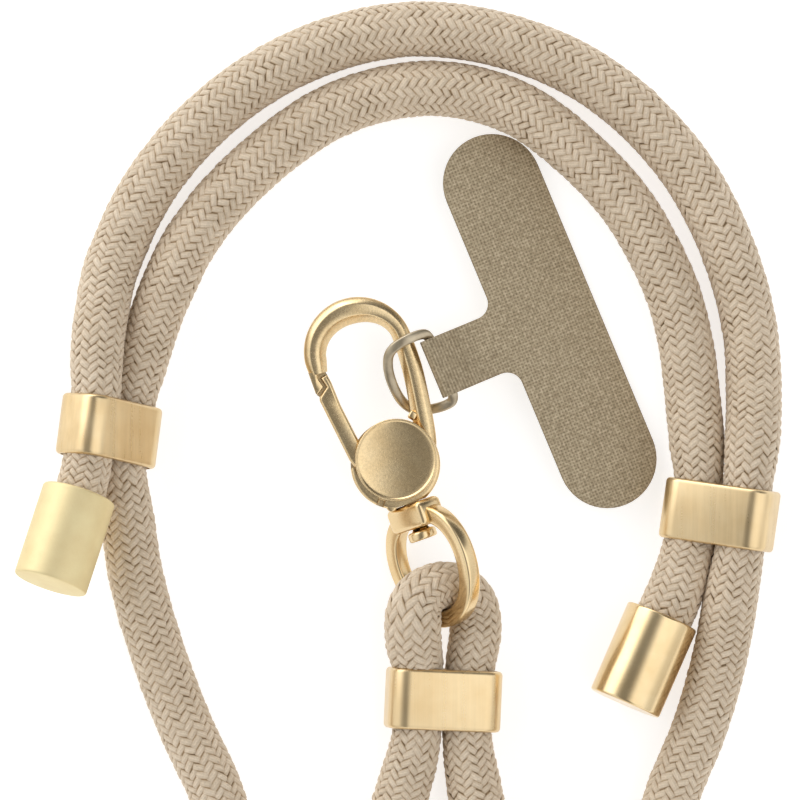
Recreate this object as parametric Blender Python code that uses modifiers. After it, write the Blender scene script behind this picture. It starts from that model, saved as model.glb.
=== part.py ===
"""Crossbody strap for a phone, laid out flat.

One thick braided rope runs from cap to cap through three metal slides. The left and right slides
gather it into a double arch, and the centre slide closes a small loop round the bail of a swivel
snap hook. A D-ring on the hook holds a stiff fabric tab that goes between a phone and its case.
"""

import math

import bmesh
import bpy
from mathutils import Matrix, Vector

MM = 0.001

# Middle of the whole footprint, in the layout's millimetres
LAYOUT_MIDDLE = Vector((-0.02, -80.29, 0.03))

# Rope
ROPE_SMOOTH_STEPS = 12
ROPE_CHORD_HEIGHT = 0.36
ROPE_CHORD_HEIGHT_IN_BIGHTS = 1.0
BIGHTS_BELOW_Y = -60.0
ROPE_LONGEST_STEP = 34.0
ROPE_BEVEL_RESOLUTION = 3

# The rope's centre line from the left cap to the right cap, with its radius: x, y, z, radius
LEFT_CAP_TO_ARCH = [
    (-49.1, -22.5, 14.2, 3.6),
    (-46.2, -13.6, 12.2, 3.6),
    (-45.5, -9.2, 10.99, 3.5),
    (-44.8, -3.9, 10.43, 3.5),
    (-44.1, 1.4, 9.87, 3.5),
    (-43.9, 5.3, 9.2, 3.7),
    (-43.6, 9.4, 8.15, 3.75),
    (-43.0, 13.8, 6.4, 3.8),
    (-42.2, 18.1, 4.9, 3.9),
    (-40.9, 21.7, 4.1, 3.9),
]
OUTER_ARCH = [
    (-37.5, 29.0, 3.9, 3.9),
    (-32.4, 36.2, 3.9, 3.9),
    (-25.4, 43.0, 3.9, 3.9),
    (-17.8, 48.1, 3.9, 3.9),
    (-9.4, 51.7, 3.9, 3.9),
    (0.0, 53.7, 3.9, 3.9),
    (8.7, 53.4, 3.9, 3.9),
    (18.1, 51.2, 3.9, 3.9),
    (26.8, 47.3, 3.9, 3.9),
    (34.8, 41.2, 3.9, 3.9),
    (42.1, 32.6, 3.9, 3.9),
    (47.6, 21.7, 3.9, 3.9),
    (50.6, 10.9, 3.9, 3.9),
]
RIGHT_SLIDE_OUTER_RUN = [
    (51.5, 0.7, 4.6, 3.9),
    (51.2, -7.2, 6.5, 3.8),
    (50.5, -11.7, 7.34, 3.5),
    (49.75, -17.1, 7.34, 3.5),
    (49.0, -22.5, 7.34, 3.5),
    (48.1, -27.5, 6.5, 3.8),
    (46.6, -36.2, 4.3, 3.9),
    (43.6, -47.1, 3.9, 3.9),
]
RIGHT_BIGHT = [
    (39.3, -57.8, 3.9, 3.9),
    (35.9, -71.0, 3.9, 3.9),
    (38.4, -89.9, 3.9, 3.9),
    (45.2, -120.3, 3.9, 3.9),
    (48.3, -152.2, 3.9, 3.9),
    (48.3, -188.4, 3.9, 3.9),
    (43.2, -207.2, 3.9, 3.9),
    (31.2, -214.8, 3.9, 3.9),
    (19.1, -207.2, 3.9, 3.9),
    (14.1, -188.4, 3.9, 3.9),
    (14.1, -152.2, 3.9, 3.9),
    (14.6, -115.9, 3.9, 3.9),
    (14.8, -87.0, 3.9, 3.9),
    (13.0, -67.4, 3.9, 3.9),
]
BAIL_LOOP = [
    (10.8, -56.5, 4.0, 3.9),
    (9.75, -49.1, 4.6, 3.5),
    (9.9, -43.5, 4.6, 3.5),
    (10.15, -37.9, 4.6, 3.5),
    (10.9, -35.0, 4.35, 3.4),
    (11.1, -32.2, 4.1, 3.3),
    (10.6, -29.3, 4.3, 3.2),
    (8.7, -27.3, 5.1, 3.2),
    (5.9, -26.6, 6.65, 3.2),
    (3.3, -27.4, 7.95, 3.25),
    (1.4, -29.5, 8.6, 3.3),
    (0.7, -32.2, 8.6, 3.4),
    (1.3, -35.4, 7.4, 3.5),
    (2.6, -38.1, 6.0, 3.5),
    (2.6, -43.2, 5.9, 3.5),
    (2.35, -48.9, 5.9, 3.5),
    (1.7, -52.0, 5.3, 3.7),
    (0.1, -57.8, 4.1, 3.9),
]
LEFT_BIGHT = [
    (-2.6, -68.1, 3.9, 3.9),
    (-4.6, -87.0, 3.9, 3.9),
    (-3.6, -115.9, 3.9, 3.9),
    (-1.0, -152.2, 3.9, 3.9),
    (-1.0, -188.4, 3.9, 3.9),
    (-6.0, -207.2, 3.9, 3.9),
    (-18.1, -214.8, 3.9, 3.9),
    (-30.2, -207.2, 3.9, 3.9),
    (-35.2, -188.4, 3.9, 3.9),
    (-35.2, -152.2, 3.9, 3.9),
    (-32.2, -120.3, 3.9, 3.9),
    (-25.4, -89.9, 3.9, 3.9),
    (-23.3, -72.5, 3.9, 3.9),
    (-26.4, -57.8, 3.9, 3.9),
]
LEFT_SLIDE_INNER_RUN = [
    (-31.2, -47.1, 3.9, 3.9),
    (-35.3, -36.2, 3.9, 3.9),
    (-38.3, -25.4, 4.3, 3.9),
    (-39.7, -15.7, 5.3, 3.75),
    (-40.05, -10.3, 6.03, 3.5),
    (-39.36, -5.1, 5.47, 3.5),
    (-38.7, 0.1, 4.93, 3.5),
    (-37.6, 5.0, 4.3, 3.7),
    (-36.3, 9.4, 4.0, 3.75),
    (-34.8, 13.8, 3.9, 3.8),
]
INNER_ARCH = [
    (-32.9, 18.1, 3.9, 3.9),
    (-31.2, 21.7, 3.9, 3.9),
    (-25.9, 29.0, 3.9, 3.9),
    (-18.3, 36.2, 3.9, 3.9),
    (-10.9, 41.3, 3.9, 3.9),
    (-3.6, 44.1, 3.9, 3.9),
    (3.6, 45.2, 3.9, 3.9),
    (10.9, 44.4, 3.9, 3.9),
    (18.1, 41.7, 3.9, 3.9),
    (25.4, 36.2, 3.9, 3.9),
    (32.3, 29.0, 3.9, 3.9),
    (36.8, 21.7, 3.9, 3.9),
    (39.9, 14.5, 3.9, 3.9),
    (41.7, 7.2, 3.9, 3.9),
]
RIGHT_SLIDE_TO_CAP = [
    (42.8, -0.7, 3.9, 3.9),
    (43.3, -6.6, 4.4, 3.7),
    (43.6, -10.8, 4.8, 3.5),
    (42.83, -16.1, 4.8, 3.5),
    (42.05, -21.5, 4.8, 3.5),
    (40.3, -26.0, 5.15, 3.6),
    (38.0, -31.2, 5.6, 3.6),
    (34.4, -39.6, 6.15, 3.6),
]
ROPE_ROUTE = (
    LEFT_CAP_TO_ARCH
    + OUTER_ARCH
    + RIGHT_SLIDE_OUTER_RUN
    + RIGHT_BIGHT
    + BAIL_LOOP
    + LEFT_BIGHT
    + LEFT_SLIDE_INNER_RUN
    + INNER_ARCH
    + RIGHT_SLIDE_TO_CAP
)

# Slides: flat sleeves with round edges that two runs of rope pass through
SLIDE_WIDTH = 16.4
SLIDE_DEPTH = 8.6
SLIDE_HEIGHT = 8.5
SLIDE_CORNER = 2.9
SLIDE_BORE_WIDTH = 15.1
SLIDE_BORE_DEPTH = 7.6
SLIDE_BORE_CORNER = 2.6
SLIDE_EDGE = 0.3
CORNER_STEPS = 6
# name, x, y, z of the middle, then lean, pitch and roll in degrees
SLIDES = [
    ("slide_left", -42.07, -4.49, 7.95, -7.4, -6.0, 42.0),
    ("slide_right", 46.3, -16.6, 6.07, -8.1, 0.0, -20.0),
    ("slide_centre", 6.25, -43.38, 5.25, -2.6, 0.0, 10.0),
]

# End caps
CAP_RADIUS = 5.4
CAP_LENGTH = 13.9
CAP_BORE_RADIUS = 4.0
CAP_BORE_DEPTH = 11.6
CAP_CHAMFER = 0.35
CAP_STEPS = 36
# name, x, y, z of the mouth, then a point further down the axis
CAPS = [
    ("cap_left", (-46.25, -13.55, 12.2), (-50.4, -26.5, 15.1)),
    ("cap_right", (38.03, -31.25, 5.62), (32.55, -43.86, 6.55)),
]

# Snap hook: u runs across it, v along the swivel axis towards the tip, w up
HOOK_CENTRE = (-0.6, -8.5)
HOOK_LEAN = 19.5
SWIVEL_HEIGHT = 7.4
HOOK_ARC_CENTRE = (0.1, 16.4)
HOOK_ARC_OUTER_RADIUS = 7.95
WIRE_RADIUS_RIGHT = 1.35
WIRE_RADIUS_TOP = 1.95
WIRE_RADIUS_LEFT = 1.6
WIRE_ARC_STEPS = 14
WIRE_SIDES_RESOLUTION = 4
# u, v, radius down the right bar into the hub
RIGHT_BAR = [(6.55, 13.2, 1.3), (6.1, 9.6, 1.3), (5.55, 5.6, 1.3), (4.9, 1.8, 1.3)]
# u, v, radius of the left side down to the nose
NOSE_END = [(-6.3, 15.9, 1.45), (-6.42, 15.45, 1.4)]
HUB_RADIUS = 6.9
HUB_CENTRE = (0.0, -0.2)
HUB_BOTTOM = -1.9
HUB_TOP = 1.6
HUB_FLAT_V = -6.6
HUB_STEPS = 48
NOSE_TONGUE = {"u": (-7.55, -6.75), "v": (12.55, 16.0), "w": (-1.05, 1.05)}

# Post and head that hold the hook in the bail
POST_RADIUS = 1.15
POST_END_V = -11.2
HEAD_RADIUS = 2.05
HEAD_THICKNESS = 1.2
POST_HOLE_RADIUS = 1.5
ROUND_STEPS = 28

# Gate
GATE_PIVOT = (-4.2, 0.2)
GATE_HALF_THICKNESS = 1.1
GATE_EDGE = 0.25
GATE_KNUCKLE_RADIUS = 1.6
GATE_BORE_RADIUS = 0.95
GATE_PIN_RADIUS = 0.65
GATE_OPENING = 22.0
GATE_RUNNING_GAP = 0.35
POCKET_FLOOR = -1.45
# u, v round the lever above its knuckle, anticlockwise from the inner side
GATE_LEVER = [
    (-3.35, 1.6),
    (-4.25, 4.3),
    (-5.2, 11.6),
    (-5.3, 15.0),
    (-6.35, 15.05),
    (-6.35, 12.6),
    (-6.75, 12.15),
    (-7.5, 11.8),
    (-6.35, 2.0),
]

# Disc over the hub
DISC_RADIUS = 6.15
DISC_FACE_RADIUS = 5.65
DISC_BOTTOM = 1.9
DISC_TOP = 2.8
DISC_RECESS = 0.15

# Bail: a ring turned about the swivel axis, q across it, v along the axis
BAIL_TURN = 50.0
BAIL_BAR_WIDTH = 2.5
BAIL_BAR_THICKNESS = 2.3
BAIL_BAR_CORNER = 0.7
# q, v of the right half of the ring from the block to the bottom
BAIL_HALF = [(2.9, -9.0), (5.4, -10.4), (7.0, -13.0), (7.45, -16.2), (6.7, -19.6), (4.8, -22.4), (2.4, -23.9)]
BAIL_BOTTOM = (0.0, -24.3)
BAIL_SPLINE_STEPS = 4
BAIL_BLOCK = {"q": 3.6, "v": (-10.6, -7.2), "s": 2.3}
BAIL_BLOCK_BEVEL = 0.8

# D-ring wire: u, v, w of its centre line
D_RING_RADIUS = 0.5
D_RING = [
    (10.43, 13.4, 0.81),
    (10.36, 14.8, 1.2),
    (10.05, 15.5, 1.55),
    (9.3, 15.75, 1.85),
    (8.0, 15.75, 2.3),
    (6.6, 15.6, 2.5),
    (5.2, 15.25, 2.3),
    (4.1, 14.5, 1.6),
    (3.4, 13.0, 0.6),
    (3.15, 11.2, -0.2),
    (3.25, 9.2, -1.0),
    (3.7, 7.4, -1.8),
    (4.65, 6.05, -2.4),
    (6.0, 5.35, -2.55),
    (7.6, 5.0, -2.3),
    (9.4, 4.9, -1.85),
    (10.45, 5.15, -1.55),
    (10.85, 5.9, -1.22),
    (10.77, 7.4, -0.81),
]
D_RING_STEPS = 3

# Fabric tab: a runs along its stem from the D-ring's straight bar, b across it
TAB_BAR = (10.6, 10.4)
TAB_LEAN = 3.18
TAB_THICKNESS = 0.9
STEM_HALF_WIDTH = 4.35
STEM_FILLET = 2.3
HEAD_CENTRE_A = 17.16
HEAD_RADIUS_B = 7.18
HEAD_HALF_STRAIGHT = 21.66
HEAD_ARC_STEPS = 14
FILLET_STEPS = 5
FOLD_RADIUS = 1.5
FOLD_CHANNEL_RADIUS = 0.82
FOLD_TAIL_A = 3.8
BAR_TWIST = 0.27
TWIST_ENDS_A = 9.0
TAB_FAR_EDGE_Z = 0.62
TAB_CUTS_A = [1.0, 2.2, 3.6, 5.0, 6.4, 7.7, 9.0]

# Colours from the real finishes
SAND_YARN = (0.52, 0.42, 0.31)
SATIN_GOLD = (0.78, 0.60, 0.34)
TAUPE_FABRIC = (0.33, 0.27, 0.19)
TAUPE_ENAMEL = (0.36, 0.31, 0.24)


def clear_scene():
    for old in list(bpy.data.objects):
        bpy.data.objects.remove(old, do_unlink=True)


def new_collection(name):
    made = bpy.data.collections.new(name)
    bpy.context.scene.collection.children.link(made)
    return made


def finish_material(name, colour, roughness, metallic):
    made = bpy.data.materials.new(name)
    made.use_nodes = True
    shader = made.node_tree.nodes["Principled BSDF"]
    shader.inputs["Base Color"].default_value = (*colour, 1.0)
    shader.inputs["Roughness"].default_value = roughness
    shader.inputs["Metallic"].default_value = metallic
    return made


def place(obj, collection, parent, material=None):
    collection.objects.link(obj)
    obj.parent = parent
    if material:
        obj.data.materials.clear()
        obj.data.materials.append(material)
    return obj


def frame_empty(name, collection, parent, matrix):
    empty = bpy.data.objects.new(name, None)
    empty.empty_display_size = 5 * MM
    collection.objects.link(empty)
    empty.parent = parent
    empty.matrix_local = matrix
    return empty


def as_helper(obj):
    obj.hide_render = True
    obj.display_type = "WIRE"
    return obj


def smooth_line(points, steps, closed=False):
    """Centripetal Catmull-Rom curve through points of any number of columns."""
    rows = [Vector(p) for p in points]
    if closed:
        padded = [rows[-1]] + rows + rows[:2]
    else:
        padded = [2 * rows[0] - rows[1]] + rows + [2 * rows[-1] - rows[-2]]
    line = []
    for before, start, end, after in zip(padded, padded[1:], padded[2:], padded[3:]):
        first = math.sqrt((start - before).length)
        second = first + math.sqrt((end - start).length)
        third = second + math.sqrt((after - end).length)
        for step in range(steps):
            t = first + (second - first) * step / steps
            a = before.lerp(start, t / first)
            b = start.lerp(end, (t - first) / (second - first))
            c = end.lerp(after, (t - second) / (third - second))
            ab = a.lerp(b, t / second)
            bc = b.lerp(c, (t - first) / (third - first))
            line.append(ab.lerp(bc, (t - first) / (second - first)))
    if not closed:
        line.append(rows[-1])
    return line


def thinned(line, longest):
    """Keeps a point wherever a chord would stand too far off the curve or its radius."""
    kept = [line[0]]
    start = 0
    for end in range(2, len(line)):
        run = line[end] - line[start]
        chord = run.normalized()
        offsets = [point - line[start] for point in line[start + 1 : end]]
        height = max((offset - offset.dot(chord) * chord).length for offset in offsets)
        in_bight = line[start].y < BIGHTS_BELOW_Y
        most = ROPE_CHORD_HEIGHT_IN_BIGHTS if in_bight else ROPE_CHORD_HEIGHT
        if run.length > longest or height > most:
            kept.append(line[end - 1])
            start = end - 1
    kept.append(line[-1])
    return kept


def tube(name, rows, closed=False, sides=2, profile=None):
    """A curve of x, y, z, radius rows in millimetres, round or of the given profile."""
    curve = bpy.data.curves.new(name, "CURVE")
    curve.dimensions = "3D"
    curve.twist_mode = "MINIMUM"
    spline = curve.splines.new("POLY")
    spline.points.add(len(rows) - 1)
    spline.use_cyclic_u = closed
    for point, row in zip(spline.points, rows):
        point.co = (row[0] * MM, row[1] * MM, row[2] * MM, 1.0)
        point.radius = row[3]
    if profile:
        curve.bevel_mode = "OBJECT"
        curve.bevel_object = profile
    else:
        curve.bevel_depth = MM
        curve.bevel_resolution = sides
    curve.use_fill_caps = not closed
    spline.use_smooth = True
    return bpy.data.objects.new(name, curve)


def flat_outline(name, outlines, half_depth, edge=0.0, edge_steps=1):
    """A 2D curve of closed outlines in millimetres, filled and extruded both ways, with rounded edges."""
    curve = bpy.data.curves.new(name, "CURVE")
    curve.dimensions = "2D"
    curve.fill_mode = "BOTH"
    curve.extrude = (half_depth - edge) * MM
    if edge:
        curve.bevel_depth = edge * MM
        curve.bevel_resolution = edge_steps
        curve.offset = -edge * MM
    for outline in outlines:
        spline = curve.splines.new("POLY")
        spline.points.add(len(outline) - 1)
        spline.use_cyclic_u = True
        for point, (x, y) in zip(spline.points, outline):
            point.co = (x * MM, y * MM, 0.0, 1.0)
    return bpy.data.objects.new(name, curve)


def made_mesh(curve_object, name):
    """Turns a curve object into a mesh object with welded caps, and removes the curve."""
    bpy.context.scene.collection.objects.link(curve_object)
    bpy.context.view_layer.update()
    graph = bpy.context.evaluated_depsgraph_get()
    mesh = bpy.data.meshes.new_from_object(curve_object.evaluated_get(graph))
    weld = bmesh.new()
    weld.from_mesh(mesh)
    bmesh.ops.remove_doubles(weld, verts=weld.verts, dist=1e-6)
    bmesh.ops.recalc_face_normals(weld, faces=weld.faces)
    weld.to_mesh(mesh)
    weld.free()
    bpy.data.objects.remove(curve_object, do_unlink=True)
    return bpy.data.objects.new(name, mesh)


def smooth_shade(mesh, angle=35.0):
    mesh.shade_smooth()
    mesh.set_sharp_from_angle(angle=math.radians(angle))


def cylinder(name, radius, start, end, steps=ROUND_STEPS):
    """A closed cylinder between two points in millimetres."""
    shape = bmesh.new()
    axis = Vector(end) - Vector(start)
    bmesh.ops.create_cone(
        shape,
        cap_ends=True,
        segments=steps,
        radius1=radius * MM,
        radius2=radius * MM,
        depth=axis.length * MM,
    )
    turn = Vector((0, 0, 1)).rotation_difference(axis.normalized()).to_matrix().to_4x4()
    middle = (Vector(start) + Vector(end)) / 2 * MM
    bmesh.ops.transform(shape, matrix=Matrix.Translation(middle) @ turn, verts=shape.verts)
    mesh = bpy.data.meshes.new(name)
    shape.to_mesh(mesh)
    shape.free()
    return bpy.data.objects.new(name, mesh)


def block(name, low, high, bevel=0.0):
    """A closed box between two corners in millimetres, with rounded edges."""
    shape = bmesh.new()
    bmesh.ops.create_cube(shape, size=1.0)
    size = Vector(high) - Vector(low)
    middle = (Vector(high) + Vector(low)) / 2
    bmesh.ops.scale(shape, vec=size * MM, verts=shape.verts)
    bmesh.ops.translate(shape, vec=middle * MM, verts=shape.verts)
    if bevel:
        bmesh.ops.bevel(
            shape,
            geom=shape.edges[:],
            offset=bevel * MM,
            segments=3,
            profile=0.5,
            affect="EDGES",
            material=-1,
        )
    mesh = bpy.data.meshes.new(name)
    shape.to_mesh(mesh)
    shape.free()
    return bpy.data.objects.new(name, mesh)


def boolean(obj, other, operation):
    cut = obj.modifiers.new(f"{operation.lower()} {other.name}", "BOOLEAN")
    cut.operation = operation
    cut.solver = "EXACT"
    cut.object = other


def turned(name, profile, steps):
    """A solid of revolution about local Z from r, z rows in millimetres, outer side running down."""
    shape = bmesh.new()
    points = [shape.verts.new((r * MM, 0.0, z * MM)) for r, z in profile]
    for start, end in zip(points, points[1:]):
        shape.edges.new((start, end))
    mesh = bpy.data.meshes.new(name)
    shape.to_mesh(mesh)
    shape.free()
    made = bpy.data.objects.new(name, mesh)
    screw = made.modifiers.new("turn", "SCREW")
    screw.steps = steps
    screw.render_steps = steps
    screw.use_merge_vertices = True
    screw.merge_threshold = 1e-6
    screw.use_smooth_shade = True
    return made


def rounded_rectangle(width, depth, corner, steps):
    outline = []
    for turn, side_x, side_y in ((0, 1, 1), (90, -1, 1), (180, -1, -1), (270, 1, -1)):
        for step in range(steps + 1):
            angle = math.radians(turn + 90 * step / steps)
            x = side_x * (width / 2 - corner) + corner * math.cos(angle)
            y = side_y * (depth / 2 - corner) + corner * math.sin(angle)
            outline.append((x, y))
    return outline


def circle_outline(centre, radius, steps):
    angles = [2 * math.pi * step / steps for step in range(steps)]
    return [(centre[0] + radius * math.cos(a), centre[1] + radius * math.sin(a)) for a in angles]


def add_rope(collection, parent, material):
    line = smooth_line(ROPE_ROUTE, ROPE_SMOOTH_STEPS)
    rows = thinned(line, ROPE_LONGEST_STEP)
    rope = tube("braided_rope", rows, sides=ROPE_BEVEL_RESOLUTION)
    return place(rope, collection, parent, material)


def add_slide(collection, parent, material, row):
    """A sleeve whose bore runs along its local Y and whose flat face looks along local Z."""
    name, x, y, z, lean, pitch, roll = row
    outer = rounded_rectangle(SLIDE_WIDTH, SLIDE_DEPTH, SLIDE_CORNER, CORNER_STEPS)
    bore = rounded_rectangle(SLIDE_BORE_WIDTH, SLIDE_BORE_DEPTH, SLIDE_BORE_CORNER, CORNER_STEPS)
    sleeve = made_mesh(flat_outline(name, [outer, bore], SLIDE_HEIGHT / 2, SLIDE_EDGE), name)
    sleeve.data.transform(Matrix.Rotation(math.radians(90), 4, "X"))
    smooth_shade(sleeve.data)
    place(sleeve, collection, parent, material)
    sleeve.matrix_local = (
        Matrix.Translation(Vector((x, y, z)) * MM)
        @ Matrix.Rotation(math.radians(lean), 4, "Z")
        @ Matrix.Rotation(math.radians(pitch), 4, "X")
        @ Matrix.Rotation(math.radians(roll), 4, "Y")
    )
    return sleeve


def add_cap(collection, parent, material, row):
    """A turned cup, mouth at its local origin, closed end down local -Z."""
    name, mouth, tail = row
    rim = CAP_RADIUS - CAP_CHAMFER
    profile = [
        (0.0, -CAP_BORE_DEPTH),
        (CAP_BORE_RADIUS, -CAP_BORE_DEPTH),
        (CAP_BORE_RADIUS, 0.0),
        (rim, 0.0),
        (CAP_RADIUS, -CAP_CHAMFER),
        (CAP_RADIUS, CAP_CHAMFER - CAP_LENGTH),
        (rim, -CAP_LENGTH),
        (0.0, -CAP_LENGTH),
    ]
    cap = place(turned(name, profile, CAP_STEPS), collection, parent, material)
    axis = (Vector(mouth) - Vector(tail)).normalized()
    turn = Vector((0, 0, 1)).rotation_difference(axis).to_matrix().to_4x4()
    cap.matrix_local = Matrix.Translation(Vector(mouth) * MM) @ turn
    return cap


def wire_radius(angle):
    """Thickness of the hook's bow: thickest at the top, thinner down each side."""
    top = math.sin(angle) ** 2
    side = WIRE_RADIUS_RIGHT if math.cos(angle) > 0 else WIRE_RADIUS_LEFT
    return side + (WIRE_RADIUS_TOP - side) * top


def hook_wire_rows():
    """u, v, w, radius of the bow from the nose round the top and down the right bar."""
    rows = [(u, v, 0.0, radius) for u, v, radius in reversed(NOSE_END)]
    for step in range(WIRE_ARC_STEPS + 1):
        angle = math.pi * (1 - step / WIRE_ARC_STEPS)
        radius = wire_radius(angle)
        reach = HOOK_ARC_OUTER_RADIUS - radius
        u = HOOK_ARC_CENTRE[0] + reach * math.cos(angle)
        v = HOOK_ARC_CENTRE[1] + reach * math.sin(angle)
        rows.append((u, v, 0.0, radius))
    rows += [(u, v, 0.0, radius) for u, v, radius in RIGHT_BAR]
    return rows


def pocket_outline():
    """Room in the hub for the gate's root from closed to open."""
    pivot = Vector(GATE_PIVOT)
    reach = HUB_RADIUS + 2.0
    clear = GATE_KNUCKLE_RADIUS + GATE_RUNNING_GAP
    open_side = Vector((-math.sin(math.radians(-10)), math.cos(math.radians(-10))))
    across = Vector((open_side.y, -open_side.x))
    points = [pivot + Vector((clear * math.cos(a), clear * math.sin(a))) for a in lower_half(16)]
    points.append(pivot + clear * across + 0.6 * open_side)
    points.append(pivot + clear * across + reach * open_side)
    points.append(Vector((GATE_PIVOT[0] - reach, GATE_PIVOT[1] + reach)))
    points.append(Vector((GATE_PIVOT[0] - reach, GATE_PIVOT[1] + 1.0)))
    points.append(Vector((GATE_PIVOT[0] - clear, GATE_PIVOT[1] + 0.6)))
    return [(p.x, p.y) for p in points]


def lower_half(steps):
    return [math.pi + math.pi * step / steps for step in range(steps + 1)]


def add_hook_frame(collection, cutters, parent, material):
    """Bow, hub, latch nose, gate pin, post and head of the snap hook as one casting."""
    rows = hook_wire_rows()
    frame = made_mesh(tube("hook_frame", rows, sides=WIRE_SIDES_RESOLUTION), "hook_frame")
    place(frame, collection, parent, material)

    hub = cylinder("hub", HUB_RADIUS, (*HUB_CENTRE, HUB_BOTTOM), (*HUB_CENTRE, HUB_TOP), HUB_STEPS)
    below = block("hub_flat", (-10, -12, -4), (10, HUB_FLAT_V, 4))
    pocket = made_mesh(flat_outline("gate_pocket", [pocket_outline()], 2.2), "gate_pocket")
    pocket.data.transform(Matrix.Translation((0, 0, (POCKET_FLOOR + 2.2) * MM)))
    pin = cylinder("gate_pin", GATE_PIN_RADIUS, (*GATE_PIVOT, HUB_BOTTOM + 0.1), (*GATE_PIVOT, HUB_TOP - 0.1))
    post = cylinder("post", POST_RADIUS, (0, HUB_FLAT_V + 0.8, 0), (0, POST_END_V, 0))
    head_start = POST_END_V + 0.1
    head = cylinder("head", HEAD_RADIUS, (0, head_start, 0), (0, head_start - HEAD_THICKNESS, 0))
    tongue = block(
        "nose_tongue",
        (NOSE_TONGUE["u"][0], NOSE_TONGUE["v"][0], NOSE_TONGUE["w"][0]),
        (NOSE_TONGUE["u"][1], NOSE_TONGUE["v"][1], NOSE_TONGUE["w"][1]),
        bevel=0.2,
    )
    steps = [
        (hub, "UNION"),
        (below, "DIFFERENCE"),
        (pocket, "DIFFERENCE"),
        (pin, "UNION"),
        (post, "UNION"),
        (head, "UNION"),
        (tongue, "UNION"),
    ]
    for helper, operation in steps:
        as_helper(place(helper, cutters, parent))
        boolean(frame, helper, operation)
    return frame


def add_hook_disc(collection, parent, material):
    profile = [
        (0.0, DISC_TOP - DISC_RECESS),
        (DISC_FACE_RADIUS, DISC_TOP - DISC_RECESS),
        (DISC_FACE_RADIUS + 0.15, DISC_TOP),
        (DISC_RADIUS - 0.15, DISC_TOP),
        (DISC_RADIUS, DISC_TOP - 0.15),
        (DISC_RADIUS, DISC_BOTTOM + 0.15),
        (DISC_RADIUS - 0.15, DISC_BOTTOM),
        (0.0, DISC_BOTTOM),
    ]
    return place(turned("hook_disc", profile, HUB_STEPS), collection, parent, material)


def add_gate(collection, parent, material):
    """Lever with a bored knuckle on the hub's pin and a stepped end that laps the nose."""
    pivot = Vector(GATE_PIVOT)
    round_end = [
        pivot + GATE_KNUCKLE_RADIUS * Vector((math.cos(a), math.sin(a))) for a in lower_half(12)
    ]
    outline = [(p.x - pivot.x, p.y - pivot.y) for p in round_end]
    outline += [(u - pivot.x, v - pivot.y) for u, v in GATE_LEVER]
    bore = circle_outline((0.0, 0.0), GATE_BORE_RADIUS, 16)
    gate = flat_outline("hook_gate", [outline, bore], GATE_HALF_THICKNESS, GATE_EDGE)
    gate = made_mesh(gate, "hook_gate")
    smooth_shade(gate.data)
    place(gate, collection, parent, material)
    gate.location = (pivot.x * MM, pivot.y * MM, 0.15 * MM)
    return gate


def add_bail(collection, cutters, parent, material):
    """Ring of squared bar that grows out of the block the hook's post turns in."""
    left = [(-q, v) for q, v in reversed(BAIL_HALF)]
    loop = [(q, v, 0.0, 1.0) for q, v in BAIL_HALF + [BAIL_BOTTOM] + left]
    profile_outline = rounded_rectangle(BAIL_BAR_WIDTH, BAIL_BAR_THICKNESS, BAIL_BAR_CORNER, 2)
    profile = flat_outline("bail_bar_profile", [profile_outline], 0.0)
    profile.data.fill_mode = "NONE"
    as_helper(place(profile, cutters, parent))
    line = smooth_line(loop, BAIL_SPLINE_STEPS, closed=True)
    ring = tube("swivel_bail", line, closed=True, profile=profile)
    ring.data.twist_mode = "Z_UP"
    ring = made_mesh(ring, "swivel_bail")
    smooth_shade(ring.data)
    place(ring, collection, parent, material)
    wide = BAIL_BLOCK["q"]
    deep = BAIL_BLOCK["s"]
    low_v, high_v = BAIL_BLOCK["v"]
    body = block("bail_block", (-wide, low_v, -deep), (wide, high_v, deep), BAIL_BLOCK_BEVEL)
    hole = cylinder("post_hole", POST_HOLE_RADIUS, (0, high_v + 2, 0), (0, low_v - 2, 0))
    for helper, operation in ((body, "UNION"), (hole, "DIFFERENCE")):
        as_helper(place(helper, cutters, parent))
        boolean(ring, helper, operation)
    return ring


def add_d_ring(collection, parent, material):
    line = smooth_line([(*row, D_RING_RADIUS) for row in D_RING], D_RING_STEPS, closed=True)
    return place(tube("d_ring", line, closed=True, sides=2), collection, parent, material)


def tab_outline():
    """a, b round the tab: one long rounded head, two fillets and the stem."""
    outline = []
    for side in (1, -1):
        centre_b = side * HEAD_HALF_STRAIGHT
        for step in range(HEAD_ARC_STEPS + 1):
            angle = math.pi * step / HEAD_ARC_STEPS
            a = HEAD_CENTRE_A - side * HEAD_RADIUS_B * math.cos(angle)
            outline.append((a, centre_b + side * HEAD_RADIUS_B * math.sin(angle)))
    corner_a = HEAD_CENTRE_A - HEAD_RADIUS_B - STEM_FILLET
    corner_b = STEM_HALF_WIDTH + STEM_FILLET
    arc = []
    for step in range(FILLET_STEPS + 1):
        angle = math.radians(90 * step / FILLET_STEPS)
        arc.append((corner_a + STEM_FILLET * math.cos(angle), corner_b - STEM_FILLET * math.sin(angle)))
    outline += [(a, -b) for a, b in arc]
    outline += [(0.9, -STEM_HALF_WIDTH), (0.9, STEM_HALF_WIDTH)]
    outline += list(reversed(arc))
    return outline


def tab_height(a, b):
    """Height of the tab's middle surface over the swivel axis: a straight slope that twists near the bar."""
    fall = (SWIVEL_HEIGHT - TAB_FAR_EDGE_Z) / (HEAD_CENTRE_A + HEAD_RADIUS_B)
    t = min(max(a / TWIST_ENDS_A, 0.0), 1.0)
    return -fall * a + BAR_TWIST * (1 - t * t * (3 - 2 * t)) * b


def lift(mesh):
    """Raises each vertex of a flat tab piece to the tab's slope and twist."""
    for vertex in mesh.vertices:
        vertex.co.z += tab_height(vertex.co.x / MM, vertex.co.y / MM) * MM


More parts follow.
